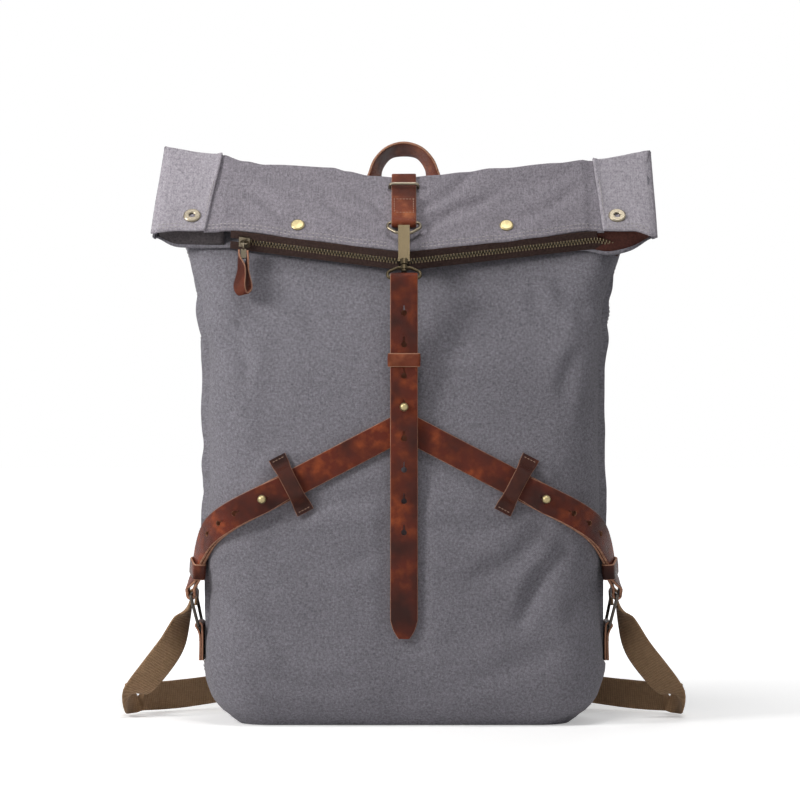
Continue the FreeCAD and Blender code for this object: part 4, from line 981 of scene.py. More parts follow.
def table_value(rows, x):
    """A smooth value from a table of (x, value)."""
    if x <= rows[0][0]:
        return rows[0][1]
    for (x0, v0), (x1, v1) in zip(rows, rows[1:]):
        if x <= x1:
            return v0 + (v1 - v0) * smoothstep(0, 1, (x - x0) / (x1 - x0))
    return rows[-1][1]


# The zip's two halves run from the middle, MOUTH_LOW below the ridge, and rise by MOUTH_DROP.
MOUTH_LEFT, MOUTH_RIGHT = 134, 150
MOUTH_LOW, MOUTH_DROP = 77.5, 23.0


def mouth_reach(x):
    """How far the mouth goes from the middle on the side that x is on."""
    return MOUTH_LEFT if x < 0 else MOUTH_RIGHT


def hem_down(x):
    """Depth of the hem below the ridge: a shallow V whose lowest point is the middle."""
    share = min(1.0, abs(x) / mouth_reach(x))
    down = 77.2 + (54.4 - 77.2) * share
    down += 1.6 * math.sin(share * math.pi) * (1 if x > 0 else 0.5)
    down += 6.5 * smoothstep(184, 204, x) + 2.0 * smoothstep(178, 203, -x)
    return down + 0.7 * noise.noise(Vector((x * 0.04, 3.0, 0)))


def near_fastener(x, up):
    """1 on the cloth under a rivet, a ring snap or the short strap."""
    near = 1 - smoothstep(12, 22, abs(x))
    for place, rise, reach in ((-86, 14, 9), (83, 14, 9), (-172, 16, 11), (173, 16, 11)):
        gone = math.hypot(x - place, up - rise)
        near = max(near, 1 - smoothstep(reach, reach + 9, gone))
    return near


FLAP_CREASES = [
    (14, 20, 74, 52, 1.5, 5.0),
    (16, 34, 58, 44, 1.0, 4.0),
    (-14, 22, -62, 40, 1.3, 5.0),
    (-16, 40, -40, 62, 0.9, 4.5),
    (22, 50, 60, 78, 1.0, 5.5),
    (96, 20, 142, 46, 0.9, 6.0),
    (-98, 24, -142, 52, 1.0, 6.0),
    (-60, 60, -120, 70, 0.8, 7.0),
    (104, 62, 146, 66, 0.8, 7.0),
]


def flap_rise(x, up, seam):
    """How far the fold-over cloth stands off its smooth form; up is measured from the hem."""
    rise = 1.1 * noise.noise(Vector((x * 0.02, up * 0.03, 7.0)))
    rise += 0.4 * noise.noise(Vector((x * 0.06, up * 0.07, 2.0)))
    rise += 2.1 * crease_rise(FLAP_CREASES, x, up)
    rise += 1.5 * math.sin(min(1, max(0, up / 60)) * math.pi) * smoothstep(14, 60, abs(x))
    cover = near_fastener(x, up)
    rise = rise * (1 - cover) - 0.1 * cover
    rise += 0.42 * (1 - smoothstep(8.2, 9.0, up))
    if seam:
        rise -= 1.5 * smoothstep(-5, 0, abs(x) - seam)
    return rise


def fold_points(x, plane_rows, roll_rows, seam=0.0, extra=0.0):
    """One slice of the fold-over cloth, from the hem up over the fold and down the back."""
    top = table_value(TOP_LINE, x)
    raised = (top - RIDGE.z - 6.6) / 0.777
    down = hem_down(x)
    points = []
    for row in range(plane_rows):
        share = row / (plane_rows - 1)
        depth = down + (-raised - down) * share
        point = on_flap(x, depth, flap_rise(x, down - depth, seam) + extra)
        points.append(point)
    last = points[-1]
    heading = Vector((0, 0.629, 0.777))
    ending = smoothstep(182, 203, abs(x))
    stand = min(1.0, max(0.0, raised / 26))
    foot_z = 413 + 18 * ending
    foot = Vector((x, soft_level("back", foot_z) + 0.9 - 7 * ending, foot_z))
    rise = Vector((0, -0.505 + 0.47 * stand, 0.863 + 0.12 * stand)).normalized()
    gap = (last - foot).length
    first = last + heading * 5.5
    second = foot + rise * gap * (0.62 - 0.12 * stand)
    for row in range(1, roll_rows + 1):
        t = row / roll_rows
        point = (
            last * (1 - t) ** 3
            + first * 3 * t * (1 - t) ** 2
            + second * 3 * t * t * (1 - t)
            + foot * t**3
        )
        wave = 0.5 * noise.noise(Vector((x * 0.03, t * 2, 5))) * math.sin(math.pi * t)
        point += Vector((0, wave, wave))
        points.append(point)
    return points


def flap_cloth():
    """The outer cloth of the folded mouth, one sheet from the back over the fold to its hem."""
    edge = 162.0
    columns = 134
    plane_rows, roll_rows = 34, 26
    points = []
    for j in range(columns + 1):
        x = -edge + 2 * edge * j / columns
        points += fold_points(x, plane_rows, roll_rows, seam=152.0)
    rows = plane_rows + roll_rows
    faces = turned_over(grid_faces(columns + 1, rows))
    # The fold-over cloth takes the lighter canvas copy, which is painted light.
    made = piece("flap_cloth", points, faces, CANVAS_PAINTED_LIGHT, None)
    thickened(made, 1.7)
    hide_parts("flap_outer")
    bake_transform(made)


def wing_limit(side, t):
    """Outer end of a wing at t: 0 at the hem, 1 where the fold begins, 2 at the back."""
    top = 198.5 if side < 0 else 204.5
    if t <= 1:
        return 205.0 + (top - 205.0) * t
    return top - 7.0 * (t - 1)


def wing_seam(side, t):
    """Distance of a wing panel's seam from the middle."""
    low, high = (161.0, 150.0) if side < 0 else (161.0, 156.0)
    return low + (high - low) * min(1.0, t)


def wing_cloth(side, word):
    """One end panel of the folded mouth, lapped over the outer cloth at its seam."""
    plane_rows, roll_rows, columns = 30, 22, 22
    rows = plane_rows + roll_rows
    points = []
    for j in range(columns + 1):
        share = j / columns
        for i in range(rows):
            t = i / (plane_rows - 1) if i < plane_rows else 1 + (i - plane_rows + 1) / roll_rows
            x = side * (wing_seam(side, t) + (wing_limit(side, t) - wing_seam(side, t)) * share)
            lift = 0.35 * (1 - smoothstep(0.0, 0.18, share))
            lift += 1.5 * (1 - smoothstep(0.0, 0.10, share)) * smoothstep(0.35, 0.9, min(t, 1))
            lap = fold_points(x, plane_rows, roll_rows, 0.0, lift)[i]
            if i >= plane_rows:
                lap = lap + Vector((0, 0.5, 0.4)) * (1 - share)
            round_off = smoothstep(0.82, 1.0, share)
            lap = lap + Vector((0, 2.2, -0.6)) * round_off**2 * (1 if t < 1 else 0.3)
            points.append(lap)
    faces = grid_faces(columns + 1, rows)
    if side > 0:
        faces = turned_over(faces)
    # The wing panels take the paler canvas copy, partly painted light.
    made = piece(f"wing_cloth_{word}", points, faces, CANVAS_WING_PALE_AND_LIT, None)
    thickened(made, 1.5)
    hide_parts(f"flap_wing_{word}")
    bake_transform(made)


INNER_TILT = math.degrees(math.atan2(25.5, 53))
INNER_LEAN = Matrix.Rotation(math.radians(-INNER_TILT), 3, "X")
INNER_GAIN = math.cos(math.radians(TILT)) / math.cos(math.radians(INNER_TILT))


def on_inner(x, down, off):
    """A point on the inner cloth."""
    return INNER_LEAN @ Vector((x, -(3.9 + off), -down)) + RIDGE


def corner_hang(x):
    """1 where the inner cloth hangs lowest, in the right corner of the mouth."""
    return math.exp(-(((x - 166) / 19) ** 2))


def end_lift(x):
    """0 to 1 over the fold's last stretch on either side, where the inner hem rises."""
    return smoothstep(176, 203, abs(x)) ** 2


def end_narrow(x):
    """How much shorter the inner cloth's end is at the ridge, on the side that x is on."""
    return 8.5 if x < 0 else 3.0


def inner_cloth():
    """The facing behind the zip, its hem lifted towards each end."""
    points = []
    rows = 26
    columns = 150
    edge = 203.0
    for j in range(columns + 1):
        share_x = -1 + 2 * j / columns
        x = edge * share_x
        share = min(1.0, abs(x) / mouth_reach(x))
        low = (MOUTH_LOW - MOUTH_DROP * share) * INNER_GAIN + 13.4
        low += 0.8 * noise.noise(Vector((x * 0.03, 0, 9)))
        low += 6.5 * corner_hang(x)
        for i in range(rows):
            v = i / (rows - 1)
            bottom = low - 9.5 * end_lift(x)
            down = 3 + (bottom - 3) * v
            off = 0.6 + 0.5 * noise.noise(Vector((x * 0.03, down * 0.05, 4))) * v
            off += 1.4 * smoothstep(0.82, 1.0, v) ** 2
            points.append(on_inner(x - end_narrow(x) * (1 - v) * share_x**3, down, off))
    faces = grid_faces(columns + 1, rows)
    made = piece("facing_cloth", points, faces, CANVAS, None)
    thickened(made, 1.3, offset=0.0)
    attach(made, "flap")
    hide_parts("flap_inner")


def wing_ends():
    """The rounded outer ends of the fold, between the outer hem and the facing."""
    for side, word in SIDES:
        points = []
        rows, columns = 24, 14
        for i in range(rows):
            v = i / (rows - 1)
            edge = side * (wing_limit(side, 1 - v) - 5.0)
            outer = on_flap(edge, -6 + (hem_down(edge) + 6.5) * v, -0.9)
            inner = on_inner(side * (201.5 - end_narrow(side) * (1 - v)), 2 + (51.6 - 2) * v, 0.8)
            for k in range(columns):
                turn = math.pi * k / (columns - 1)
                share = (1 - math.cos(turn)) / 2
                point = outer + (inner - outer) * share
                bulge = math.sin(turn) * min(2.6, 0.5 + (inner - outer).length * 0.18)
                bulge += 0.5 * noise.noise(Vector((v * 3, share * 2, side))) * math.sin(turn)
                points.append(point + Vector((side * bulge, 0, 0)))
        faces = grid_faces(rows, columns)
        if side > 0:
            faces = turned_over(faces)
        made = piece(f"fold_end_{word}", points, faces, CANVAS, None)
        thickened(made, 1.3, offset=0.0)
        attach(made, "flap")


def corner_linings():
    """The strip of lining that shows inside each of the fold's corners: rust coloured on the right, and
    on the left a darker copy of the canvas, which is painted shade.
    """
    for side, word, paint in ((-1, "left", CANVAS_PAINTED_SHADE), (1, "right", RUST_LINING)):
        points = []
        columns, rows = 18, 8
        for j in range(columns):
            x = side * (146 + (199 - 146) * j / (columns - 1))
            outer = on_flap(x, hem_down(x) - 3.5, -3.0)
            inner = on_inner(x, 58.0 - 8.5 * end_lift(x) + 6.0 * corner_hang(x), 1.6)
            for i in range(rows):
                v = i / (rows - 1)
                sag = math.sin(math.pi * v) * (1.2 + 0.5 * math.sin(j * 0.9))
                points.append(outer + (inner - outer) * v + Vector((0, 0.4, 1.0)) * sag)
        faces = grid_faces(columns, rows)
        made = piece(f"corner_lining_{word}", points, faces, paint, None)
        thickened(made, 0.8, offset=0.0)
        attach(made, "flap")


def flap_stitching():
    """Two rows of stitches along the hem and one beside each wing seam."""
    lines = []
    outward = LEAN @ FRONT
    for up in (3.1, 6.6):
        for low, high in ((-160, -13), (13, 160)):
            line = []
            x = low
            while x <= high:
                rise = flap_rise(x, up, 152.0)
                line.append((on_flap(x, hem_down(x) - up, rise + 0.1), outward))
                x += 3.0
            lines.append(line)
    stitch_piece("hem_stitches", lines, "flap")
    for side, word in SIDES:
        lines = []
        for up in (3.1, 6.6):
            line = []
            x = 163.0
            while x <= 200:
                signed = side * x
                spot = flap_rise(signed, up, 0.0) + 0.12
                line.append((on_flap(signed, hem_down(signed) - up, spot), outward))
                x += 2.0
            lines.append(line)
        line = []
        for k in range(28):
            up = 9.5 + 44 * k / 27
            t = up / 76
            x = side * (wing_seam(side, t) + 2.6)
            lift = 0.35 * 0.7 + 1.0 * smoothstep(0.35, 0.9, t)
            line.append((on_flap(x, hem_down(x) - up, flap_rise(x, up, 0.0) + lift + 0.1), outward))
        lines.append(line)
        stitch_piece(f"wing_stitches_{word}", lines, "flap")


# ------------------------------------------------------------------ zip

MOUTH_TURN = math.radians(TILT + 27)
INTO_MOUTH = Vector((0, math.sin(MOUTH_TURN), -math.cos(MOUTH_TURN)))


def zip_frame(side, along):
    """Point, own X, own Y and own Z on one half of the zip."""
    reach = mouth_reach(side)
    drop = MOUTH_DROP / reach
    run = Vector((-side, 0, -drop)).normalized()
    end = Vector((side * reach, 0, MOUTH_DROP - MOUTH_LOW - 0.8))
    outer = LEAN @ Vector((0, -CLEAR, 0)) + RIDGE
    point = LEAN @ (end + run * along) + outer
    left = LEAN @ (run * side)
    out = (LEAN @ INTO_MOUTH).cross(left).normalized() * -1
    return point, left, out.cross(left).normalized(), out


def zip_point(side, along, across, off):
    """A point on the band, across millimetres in from the outer hem."""
    point, left, over, out = zip_frame(side, along)
    if side > 0 and along < 0:
        across += 0.017 * along**2
    if over.z > 0:
        over = -over
    return point + over * across + out * off, left, over, out


def zip_line(across, off, spacing=6.0, tail=0.0):
    """Stations from the left end of the zip to the right end, tail millimetres past it."""
    stations = []
    for side in (-1, 1):
        reach = math.hypot(mouth_reach(side), MOUTH_DROP)
        count = int(reach / spacing)
        some = []
        for k in range(count + 1):
            along = reach * k / count
            point, _, _, out = zip_point(side, along - (6 if k == 0 else 0), across, off)
            some.append((point, out))
        if side < 0:
            stations += some[:-1]
        else:
            stations += list(reversed(some))
    for along in (-12, -18, -24):
        if -along <= tail:
            point, _, _, out = zip_point(1, along, across, off)
            stations.append((point, out))
    return stations


TEETH_PITCH = 2.5


def zip_pieces():
    """Both tapes, and one tooth after another along each."""
    for name, middle, tail in (("upper", 3.3, 0.0), ("lower", 12.8, 24.0)):
        band(f"zip_tape_cloth_{name}", zip_line(middle, 0.0, tail=tail), 6.6, 0.9, (TAPE, TAPE, TAPE),
             "flap", (f"zip_tape_{name}",), spacing=3.0)
    for name, low, high, shift in (("upper", 5.6, 8.35, 0.0), ("lower", 7.75, 10.5, 0.5)):
        parts = []
        for side in (-1, 1):
            reach = math.hypot(mouth_reach(side), MOUTH_DROP)
            along = (1.5 if side < 0 else 1.5 - 10 * TEETH_PITCH) + shift * TEETH_PITCH
            while along < reach - 0.8:
                point, left, over, out = zip_point(side, along, 0.0, 0.0)
                parts.append(tooth(point, left, over, out, low, high, name == "upper"))
                along += TEETH_PITCH
        points, faces = joined_mesh(parts)
        piece(f"teeth_{name}", points, faces, TEETH, "flap",
              (f"zip_teeth_{name}",), sharp=35)


def tooth(point, left, over, out, low, high, upper):
    """One zip element: a bevelled bar with a rounded head towards the middle."""
    half = 0.5
    root, head = (low, high) if upper else (high, low)
    sign = 1 if head > root else -1
    outline = [
        (-half * 1.15, root), (half * 1.15, root), (half * 1.15, root + sign * 1.3),
        (half * 0.8, root + sign * 1.9), (half, head - sign * 0.9), (half * 0.75, head - sign * 0.25),
        (0, head), (-half * 0.75, head - sign * 0.25), (-half, head - sign * 0.9),
        (-half * 0.8, root + sign * 1.9), (-half * 1.15, root + sign * 1.3),
    ]
    if sign < 0:
        outline = list(reversed(outline))
    middle = (root + head) / 2
    points = []
    for off, shrink in ((-1.0, 0.8), (-0.7, 1.0), (0.72, 1.0), (1.05, 0.74)):
        for a, b in outline:
            spot = point + left * a * shrink + over * (middle + (b - middle) * (0.4 + 0.6 * shrink))
            points.append(spot + out * off)
    count = len(outline)
    faces = grid_faces(4, count, True)
    faces += end_caps(4, count)
    return points, faces


# ------------------------------------------------------------------ leather on the fold-over top

LEATHER = 2.6
THIN = 1.8
PLAY = 0.3
WIRE = 1.3
STRAP = 22.0


def turned_about(axis, degrees, vector):
    """A vector turned about one of the frame's axes."""
    return Matrix.Rotation(math.radians(degrees), 3, axis) @ vector


def flap_strap():
    """The short strap over the fold, looped round the D-ring, with its stitching."""
    leather = LEATHER - 0.4
    base = 4.4 + 2.0 + PLAY + leather / 2
    loop = WIRE + PLAY + leather / 2
    out = LEAN @ FRONT

    def at(y, z):
        return LEAN @ Vector((0, y, z)) + RIDGE

    route = [
        (at(-base + 2.2, 7.6), LEAN @ Vector((0, -0.35, 0.94))),
        (at(-base + 0.7, 6.0), LEAN @ Vector((0, -0.7, 0.7))),
        (at(-base, 2.0), out),
        (at(-base, -12), out),
        (at(-base, -30), out),
        (at(-base, -50), out),
    ]
    centre = Vector((0, -base - loop, -50))
    for step in range(1, 9):
        arm = turned_about("X", -180 * step / 8, Vector((0, loop, 0)))
        route.append((LEAN @ (centre + arm) + RIDGE, LEAN @ (-arm.normalized())))
    tail = base + leather + PLAY
    back = LEAN @ BACK
    route += [(at(-tail - 0.6, -41), back), (at(-tail, -37), back), (at(-tail, -21), back)]
    band("short_strap", route, 20.0, leather, (HIDE_WARM, EDGE, HIDE_WARM), "flap",
         ("flap_strap",), spacing=1.2, ripple=0.25, seed=4)
    lines = []
    top = tail + leather / 2
    for x in (-7.8, 7.8):
        lines.append([(LEAN @ Vector((x, -top, z)) + RIDGE, out) for z in (-23, -30, -38)])
    lines.append([(LEAN @ Vector((x, -top, -24.5)) + RIDGE, out) for x in (-7, 0, 7)])
    lines.append([(LEAN @ Vector((x, -top - 0.3, -39.5)) + RIDGE, out) for x in (-7, 0, 7)])
    stitch_piece("short_strap_stitches", lines, "flap", THREAD_BROWN, "leather", pitch=2.6, length=1.8)


def pull_frame():
    """Placement of the zip pull: its top point and its rotation."""
    point, _, _, out = zip_point(-1, 6.0, 8.05, 0.0)
    return point + out * 5.7, Matrix.Rotation(math.radians(-16), 3, "X")


def leather_pull():
    """The folded leather tag that hangs from the zip's link."""
    top_point, turn = pull_frame()
    gap = 2.2 + PLAY + THIN / 2
    shape = [
        (gap, 4.6, 8.5), (gap, -2.0, 9.5), (2.0, -10.0, 9.5), (3.0, -17.0, 10.5),
        (4.4, -24.0, 12.0), (3.4, -28.6, 11.5),
    ]
    route, widths = [], []
    for x, z, wide in shape:
        route.append((Vector((-x, 0, z - 11.0)), X_AXIS))
        widths.append(wide)
    route.append((Vector((0, 0, -31.2 - 11.0)), UP))
    widths.append(10.0)
    for x, z, wide in reversed(shape):
        route.append((Vector((x, 0, z - 11.0)), -X_AXIS))
        widths.append(wide)
    placed = []
    for p, n in route:
        twist = Matrix.Rotation(math.radians(52) * smoothstep(2, 20, -p.z - 6), 3, "Z")
        placed.append((turn @ (twist @ p) + top_point, turn @ (twist @ n)))
    band("pull_tag", placed, widths, THIN, (HIDE_WARM, EDGE, HIDE_WARM), "zip_pull",
         ("leather_pull",), spacing=1.2, ripple=0.3, seed=9)


# ------------------------------------------------------------------ straps on the front

EYE = Vector((0, -74.153, 358.8))
INNER = 2 * PLAY + LEATHER / 2
OUTER = INNER + LEATHER + PLAY


def strap_ends():
    """Where the long strap leaves the bag, its upward direction, and where it meets the eye."""
    low = Vector((0, level("front", 256) - OUTER, 256))
    high = Vector((0, EYE.y + 1.0, EYE.z - 14))
    return low, (high - low).normalized(), high


def closure_strap():
    """Up behind the hook's eye, over its bar and down to the pointed tail, with slit holes."""
    layer = LEATHER + PLAY
    low, up, high = strap_ends()
    out = Vector((0, -up.z, up.y))
    loop = WIRE + PLAY + LEATHER / 2
    bottom = Vector((0, level("front", 226) - OUTER, 226))
    points = [bottom, low, low + (high - low) * 0.5, high]
    for step in range(11):
        points.append(EYE + turned_about("X", 180 * step / 10, Vector((0, loop, 0))))
    points += [high + out * layer, low + (high - low) * 0.5 + out * layer, low + out * layer]
    points.append(bottom + FRONT * layer)
    settling = (
        (212, 2.35), (198, 1.9), (168, 1.2), (130, 1.0),
        (90, 0.9), (84, 0.85), (77, 0.8), (71, 0.75),
    )
    for z, off in settling:
        points.append(Vector((0, level("front", z) - off * layer, z)))
    route = []
    for i, point in enumerate(points):
        along = heading_at(points, i)
        route.append((point, Vector((0, -along.z, along.y))))
    widths = [STRAP] * (len(points) - 3) + [21.0, 16.5, 9.0]
    made = band("long_strap", route, widths, LEATHER, (FLESH, EDGE, HIDE), "bag",
                ("closure_strap",), spacing=2.2, ripple=0.12, seed=2)
    holes = []
    for step in range(-4, 4):
        point = low + up * (step * 25)
        if step < 0:
            z = point.z
            rows = [(bottom.z, -bottom.y + layer)]
            rows += [(z0, -level("front", z0) + off * layer) for z0, off in settling]
            y = -table_value([(-z0, y0) for z0, y0 in rows], -z)
            point = Vector((0, y, z))
        else:
            point = point + out * layer
        holes.append((point, FRONT, UP))
    pierced(made, holes)


def ring_band(name, place, turn, half, depth, length, skin, paints, body, stands_for, side=-1):
    """A short leather sleeve round a strap: a flat oval band whose own Z is its length."""
    count = 48
    rows = (-0.5, -0.44, 0.0, 0.44, 0.5)
    inset = (0.55, 0.0, -0.12, 0.0, 0.55)
    points, indices = [], []
    for shift, sign in ((skin, 1), (0.0, -1)):
        order = list(zip(rows, inset))
        if sign < 0:
            order.reverse()
        for row, tuck in order:
            grow = shift - sign * tuck * skin * 0.8
            ring = []
            for k in range(count):
                turn_by = 2 * math.pi * k / count
                c, s = math.cos(turn_by), math.sin(turn_by)
                power = 0.28
                a = math.copysign(abs(c) ** power, c) * (half + grow)
                b = math.copysign(abs(s) ** (power + 0.12), s) * (depth / 2 + grow)
                ring.append(place + turn @ Vector((a, b, row * length)))
            points += ring
    faces = []
    total = 2 * len(rows)
    for i in range(total):
        k = (i + 1) % total
        for j in range(count):
            m = (j + 1) % count
            faces.append((i * count + j, i * count + m, k * count + m, k * count + j))
            indices.append(1 if i in (0, 3, 4, 5, 8, 9) else (0 if i < 4 else 2))
    if side > 0:
        points, faces = flipped(points, faces)
    piece(name, points, faces, paints, body, stands_for, 50, indices)


def closure_keeper():
    """The leather keeper that slides on the long strap."""
    low, up, _ = strap_ends()
    along = (293.5 - low.z) / up.z
    layer = LEATHER + PLAY
    depth = 2 * LEATHER + 3 * PLAY
    turn = UP.rotation_difference(up).to_matrix()
    centre = low + up * along + turn @ Vector((0, -depth / 2 + layer / 2, 0))
    ring_band("sliding_keeper", centre, turn, STRAP / 2 + PLAY, depth, 11.0, THIN,
              (HIDE_WARM, EDGE, FLESH), "strap_keeper", ("closure_keeper",))


def cross_line():
    """Distances from the middle and heights along a cross strap, down to its ring."""
    line = [(along, CROSS_TOP - CROSS_SLOPE * along) for along in (-6, 18, 42, 66, 90, 113)]
    heading = math.degrees(math.atan(CROSS_SLOPE))
    stride = 94 / 12
    for step in range(12):
        share = ((step + 0.5) / 12) ** 3
        turn = math.radians(heading + (88 - heading) * share)
        along, height = line[-1]
        line.append((along + stride * math.cos(turn), height - stride * math.sin(turn)))
    return line


SIDE_BAR = Vector((-172, -17, 104))
LOOP_Y = SIDE_BAR.y - 31 + STRAP / 2 + 5
LOOP_REACH = WIRE + PLAY + LEATHER / 2


def cross_run(offset, loop_side):
    """Stations of a cross strap's layer, from the middle to its ring."""
    line = cross_line()
    count = len(line)
    lift = {count - 1: 3.0, count - 2: 2.6, count - 3: 1.4, count - 4: 0.4}
    run = [on_bag(a, h, offset + lift.get(i, 0)) for i, (a, h) in enumerate(line)]
    side = Vector((SIDE_BAR.x, LOOP_Y, SIDE_BAR.z))
    run.append((side + Vector((LOOP_REACH * loop_side, 0, 7)), Vector((-1, 0, 0))))
    return run


def cross_strap(side, word):
    """From the yoke out to the side ring, round its bar and back under its stud."""
    loop = []
    centre = Vector((SIDE_BAR.x, LOOP_Y, SIDE_BAR.z))
    for step in range(9):
        arm = turned_about("Y", 180 * step / 8, Vector((LOOP_REACH, 0, 0)))
        loop.append((centre + arm, -arm.normalized()))
    back_run = [(p, -n) for p, n in reversed(cross_run(OUTER, -1))][:-4]
    route = cross_run(INNER, 1) + loop + back_run
    widths = [STRAP] * (len(route) - 1) + [STRAP - 3]
    made = band(f"side_strap_{word}", route, widths, LEATHER, (HIDE, EDGE, HIDE), "bag",
                (f"cross_strap_{word}",), spacing=2.2, side=side, ripple=0.1, seed=6 + side)
    line = cross_line()
    holes = []
    for step in (5, 8, 10, 12):
        point, normal = on_bag(*line[step], OUTER)
        ahead, _ = on_bag(*line[step - 1], OUTER)
        along = ahead - point
        if side > 0:
            point, normal, along = (mirrored(v) for v in (point, normal, along))
        holes.append((point, normal, along))
    pierced(made, holes, slit=3.2)


BRIDGE_X = 90
BRIDGE_Z = CROSS_TOP - CROSS_SLOPE * BRIDGE_X


def bridge_keeper(side, word):
    """The sewn leather bridge over a side strap."""
    lean = math.atan(CROSS_SLOPE)
    low = PLAY + THIN / 2
    high = OUTER + LEATHER / 2 + 2 * PLAY + THIN / 2
    over = STRAP / 2 + 2 * PLAY + THIN
    route = []
    arch = (
        (-25, low), (-over - 5, low), (-over - 1.5, low + 2.4), (-over + 2.5, high - 0.4), (0, high),
        (over - 2.5, high - 0.4), (over + 1.5, low + 2.4), (over + 5, low), (25, low),
    )
    for along, off in arch:
        route.append(on_bag(BRIDGE_X + along * math.sin(lean), BRIDGE_Z + along * math.cos(lean), off))
    widths = [14.5, 14, 13, 12.4, 12.2, 12.4, 13, 14, 14.5]
    band(f"bridge_{word}", route, widths, THIN, (HIDE_DARK, EDGE, FLESH), "bag",
         (f"bridge_keeper_{word}",), spacing=1.5, side=side, ripple=0.2, seed=12 + side)
    lines = []
    for end in (-1, 1):
        line = []
        for across in (-5.5, 0, 5.5):
            along = end * 22.5
            x = BRIDGE_X + along * math.sin(lean) + across * math.cos(lean)
            z = BRIDGE_Z + along * math.cos(lean) - across * math.sin(lean)
            line.append(on_bag(x, z, low + THIN / 2 + 0.05))
        lines.append(line if side < 0 else mirror_line(line))
    stitch_piece(f"bridge_stitches_{word}", lines, "bag", THREAD_BROWN, "leather", pitch=2.6, length=1.8)


def roll_keeper(side, word):
    """The rolled sleeve round both layers just above the side ring."""
    low_in, normal = cross_run(INNER, 1)[-2]
    low_out, _ = cross_run(OUTER, -1)[-2]
    high_in, _ = cross_run(INNER, 1)[-3]
    high_out, _ = cross_run(OUTER, -1)[-3]
    middle = (low_in + low_out + high_in + high_out) * 0.25
    up = (high_in + high_out - low_in - low_out).normalized()
    out = (normal - up * normal.dot(up)).normalized()
    across = out.cross(up)
    turn = Matrix((across, out, up)).transposed()
    ring_band(f"roll_{word}", middle, turn, STRAP / 2 + 3 * PLAY, 7.2, 13.0, THIN,
              (HIDE_DARK, EDGE, FLESH), "bag", (f"roll_keeper_{word}",), side)


SIDE_TAB_WIDTH = 36.84


def side_tab(side, word):
    """The folded leather tab that holds the side ring to the bag's side."""
    lean = math.radians(13)
    low = SIDE_BAR + Vector((math.sin(lean), 0, -math.cos(lean))) * 26
    reach = WIRE + PLAY + THIN / 2
    x_in = -(level("half", low.z - 20) + PLAY + THIN / 2)
    inwards = Vector((-1, 0, 0))
    route = [(Vector((x_in, low.y, low.z - 28)), inwards), (Vector((x_in, low.y, low.z - 8)), inwards)]
    for step in range(9):
        arm = turned_about("Y", -180 * step / 8, Vector((reach, 0, 0)))
        route.append((low + arm, Vector((-arm.x, 0, -arm.z)).normalized()))
    x_out = x_in - THIN - PLAY
    route.append((Vector((x_out, low.y, low.z - 8)), Vector((1, 0, 0))))
    route.append((Vector((x_out, low.y, low.z - 28)), Vector((1, 0, 0))))
    band(f"ring_tab_{word}", route, SIDE_TAB_WIDTH, THIN, (HIDE_DARK, EDGE, HIDE_DARK), "bag",
         (f"side_tab_{word}",), spacing=1.5, side=side, ripple=0.15, seed=15 + side)
    lines = []
    face = x_out - THIN / 2 - 0.05
    for z in (low.z - 12, low.z - 25):
        line = [(Vector((face, low.y + a, z)), Vector((-1, 0, 0))) for a in (-15, 0, 15)]
        lines.append(line if side < 0 else mirror_line(line))
    stitch_piece(f"tab_stitches_{word}", lines, "bag", THREAD_BROWN, "leather", pitch=2.8, length=2.0)


# ------------------------------------------------------------------ handle and back

BACK_LEAN = math.atan2(44 - 13, 418 - 365)
BACK_TURN = Matrix.Rotation(BACK_LEAN, 3, "X")


def on_slope(x, off, z):
    """A point off the sloping upper back; z is measured up the slope from its top."""
    return BACK_TURN @ Vector((x, off, z)) + Vector((0, 13, 418))


def handle():
    """The leather carrying handle, on edge at the top of its arch."""
    off = PLAY + LEATHER / 2
    face = BACK_TURN @ BACK
    half, top = 24, 474 - 20 * 0.17
    left = [
        (on_slope(-half - 2, off, -22), face),
        (on_slope(-half - 2, off, -6), face),
        (Vector((-half - 2, 22, 432)), Vector((-0.45, 0.85, 0.1))),
        (Vector((-half, 27, 446)), Vector((-0.84, 0.54, 0))),
        (Vector((-half + 3, 31, 458)), Vector((-0.84, 0.42, 0.34))),
        (Vector((-half * 0.52, 33, top - 3)), Vector((-0.46, 0.42, 0.78))),
    ]
    right = mirror_line(reversed(left))
    route = left + [(Vector((0, 34, top)), Vector((0, 0.5, 0.87)))] + right
    band("carry_handle", route, 20.0, LEATHER, (HIDE, EDGE, HIDE_WARM), "bag",
         ("top_handle",), spacing=1.5, ripple=0.35, seed=21)


def back_patch():
    """The leather patch over the roots of the handle and of the shoulder straps."""
    off = LEATHER + 2 * PLAY + THIN / 2
    route = [(on_slope(0, off, z), BACK_TURN @ BACK) for z in (-8, -18, -30, -42)]
    band("root_patch", route, 92.0, THIN, (HIDE_WARM, EDGE, HIDE), "bag",
         ("back_patch",), spacing=2.0, ripple=0.2, seed=25)
    lines = []
    face = BACK_TURN @ BACK
    lift = off + THIN / 2 + 0.15

    def sew(start, end, steps):
        (x0, z0), (x1, z1) = start, end
        lines.append([
            (on_slope(x0 + (x1 - x0) * k / steps, lift, z0 + (z1 - z0) * k / steps), face)
            for k in range(steps + 1)
        ])

    corners = [(-43, -11), (43, -11), (43, -39), (-43, -39), (-43, -11)]
    for start, end in zip(corners, corners[1:]):
        sew(start, end, 6)
    for x in (-22, 22):
        sew((x - 8, -12), (x + 8, -38), 5)
        sew((x + 8, -12), (x - 8, -38), 5)
    stitch_piece("patch_stitches", lines, "bag", THREAD, "leather")


def behind(x, height, off):
    """A point off the back panel, and the panel's normal there."""
    rate = (level("back", height + 4) - level("back", height - 4)) / 8
    normal = Vector((0, 1, -rate)).normalized()
    return Vector((x, level("back", height), height)) + normal * off, normal


PAD_THICK = 11
PAD_SEAM = 5.4


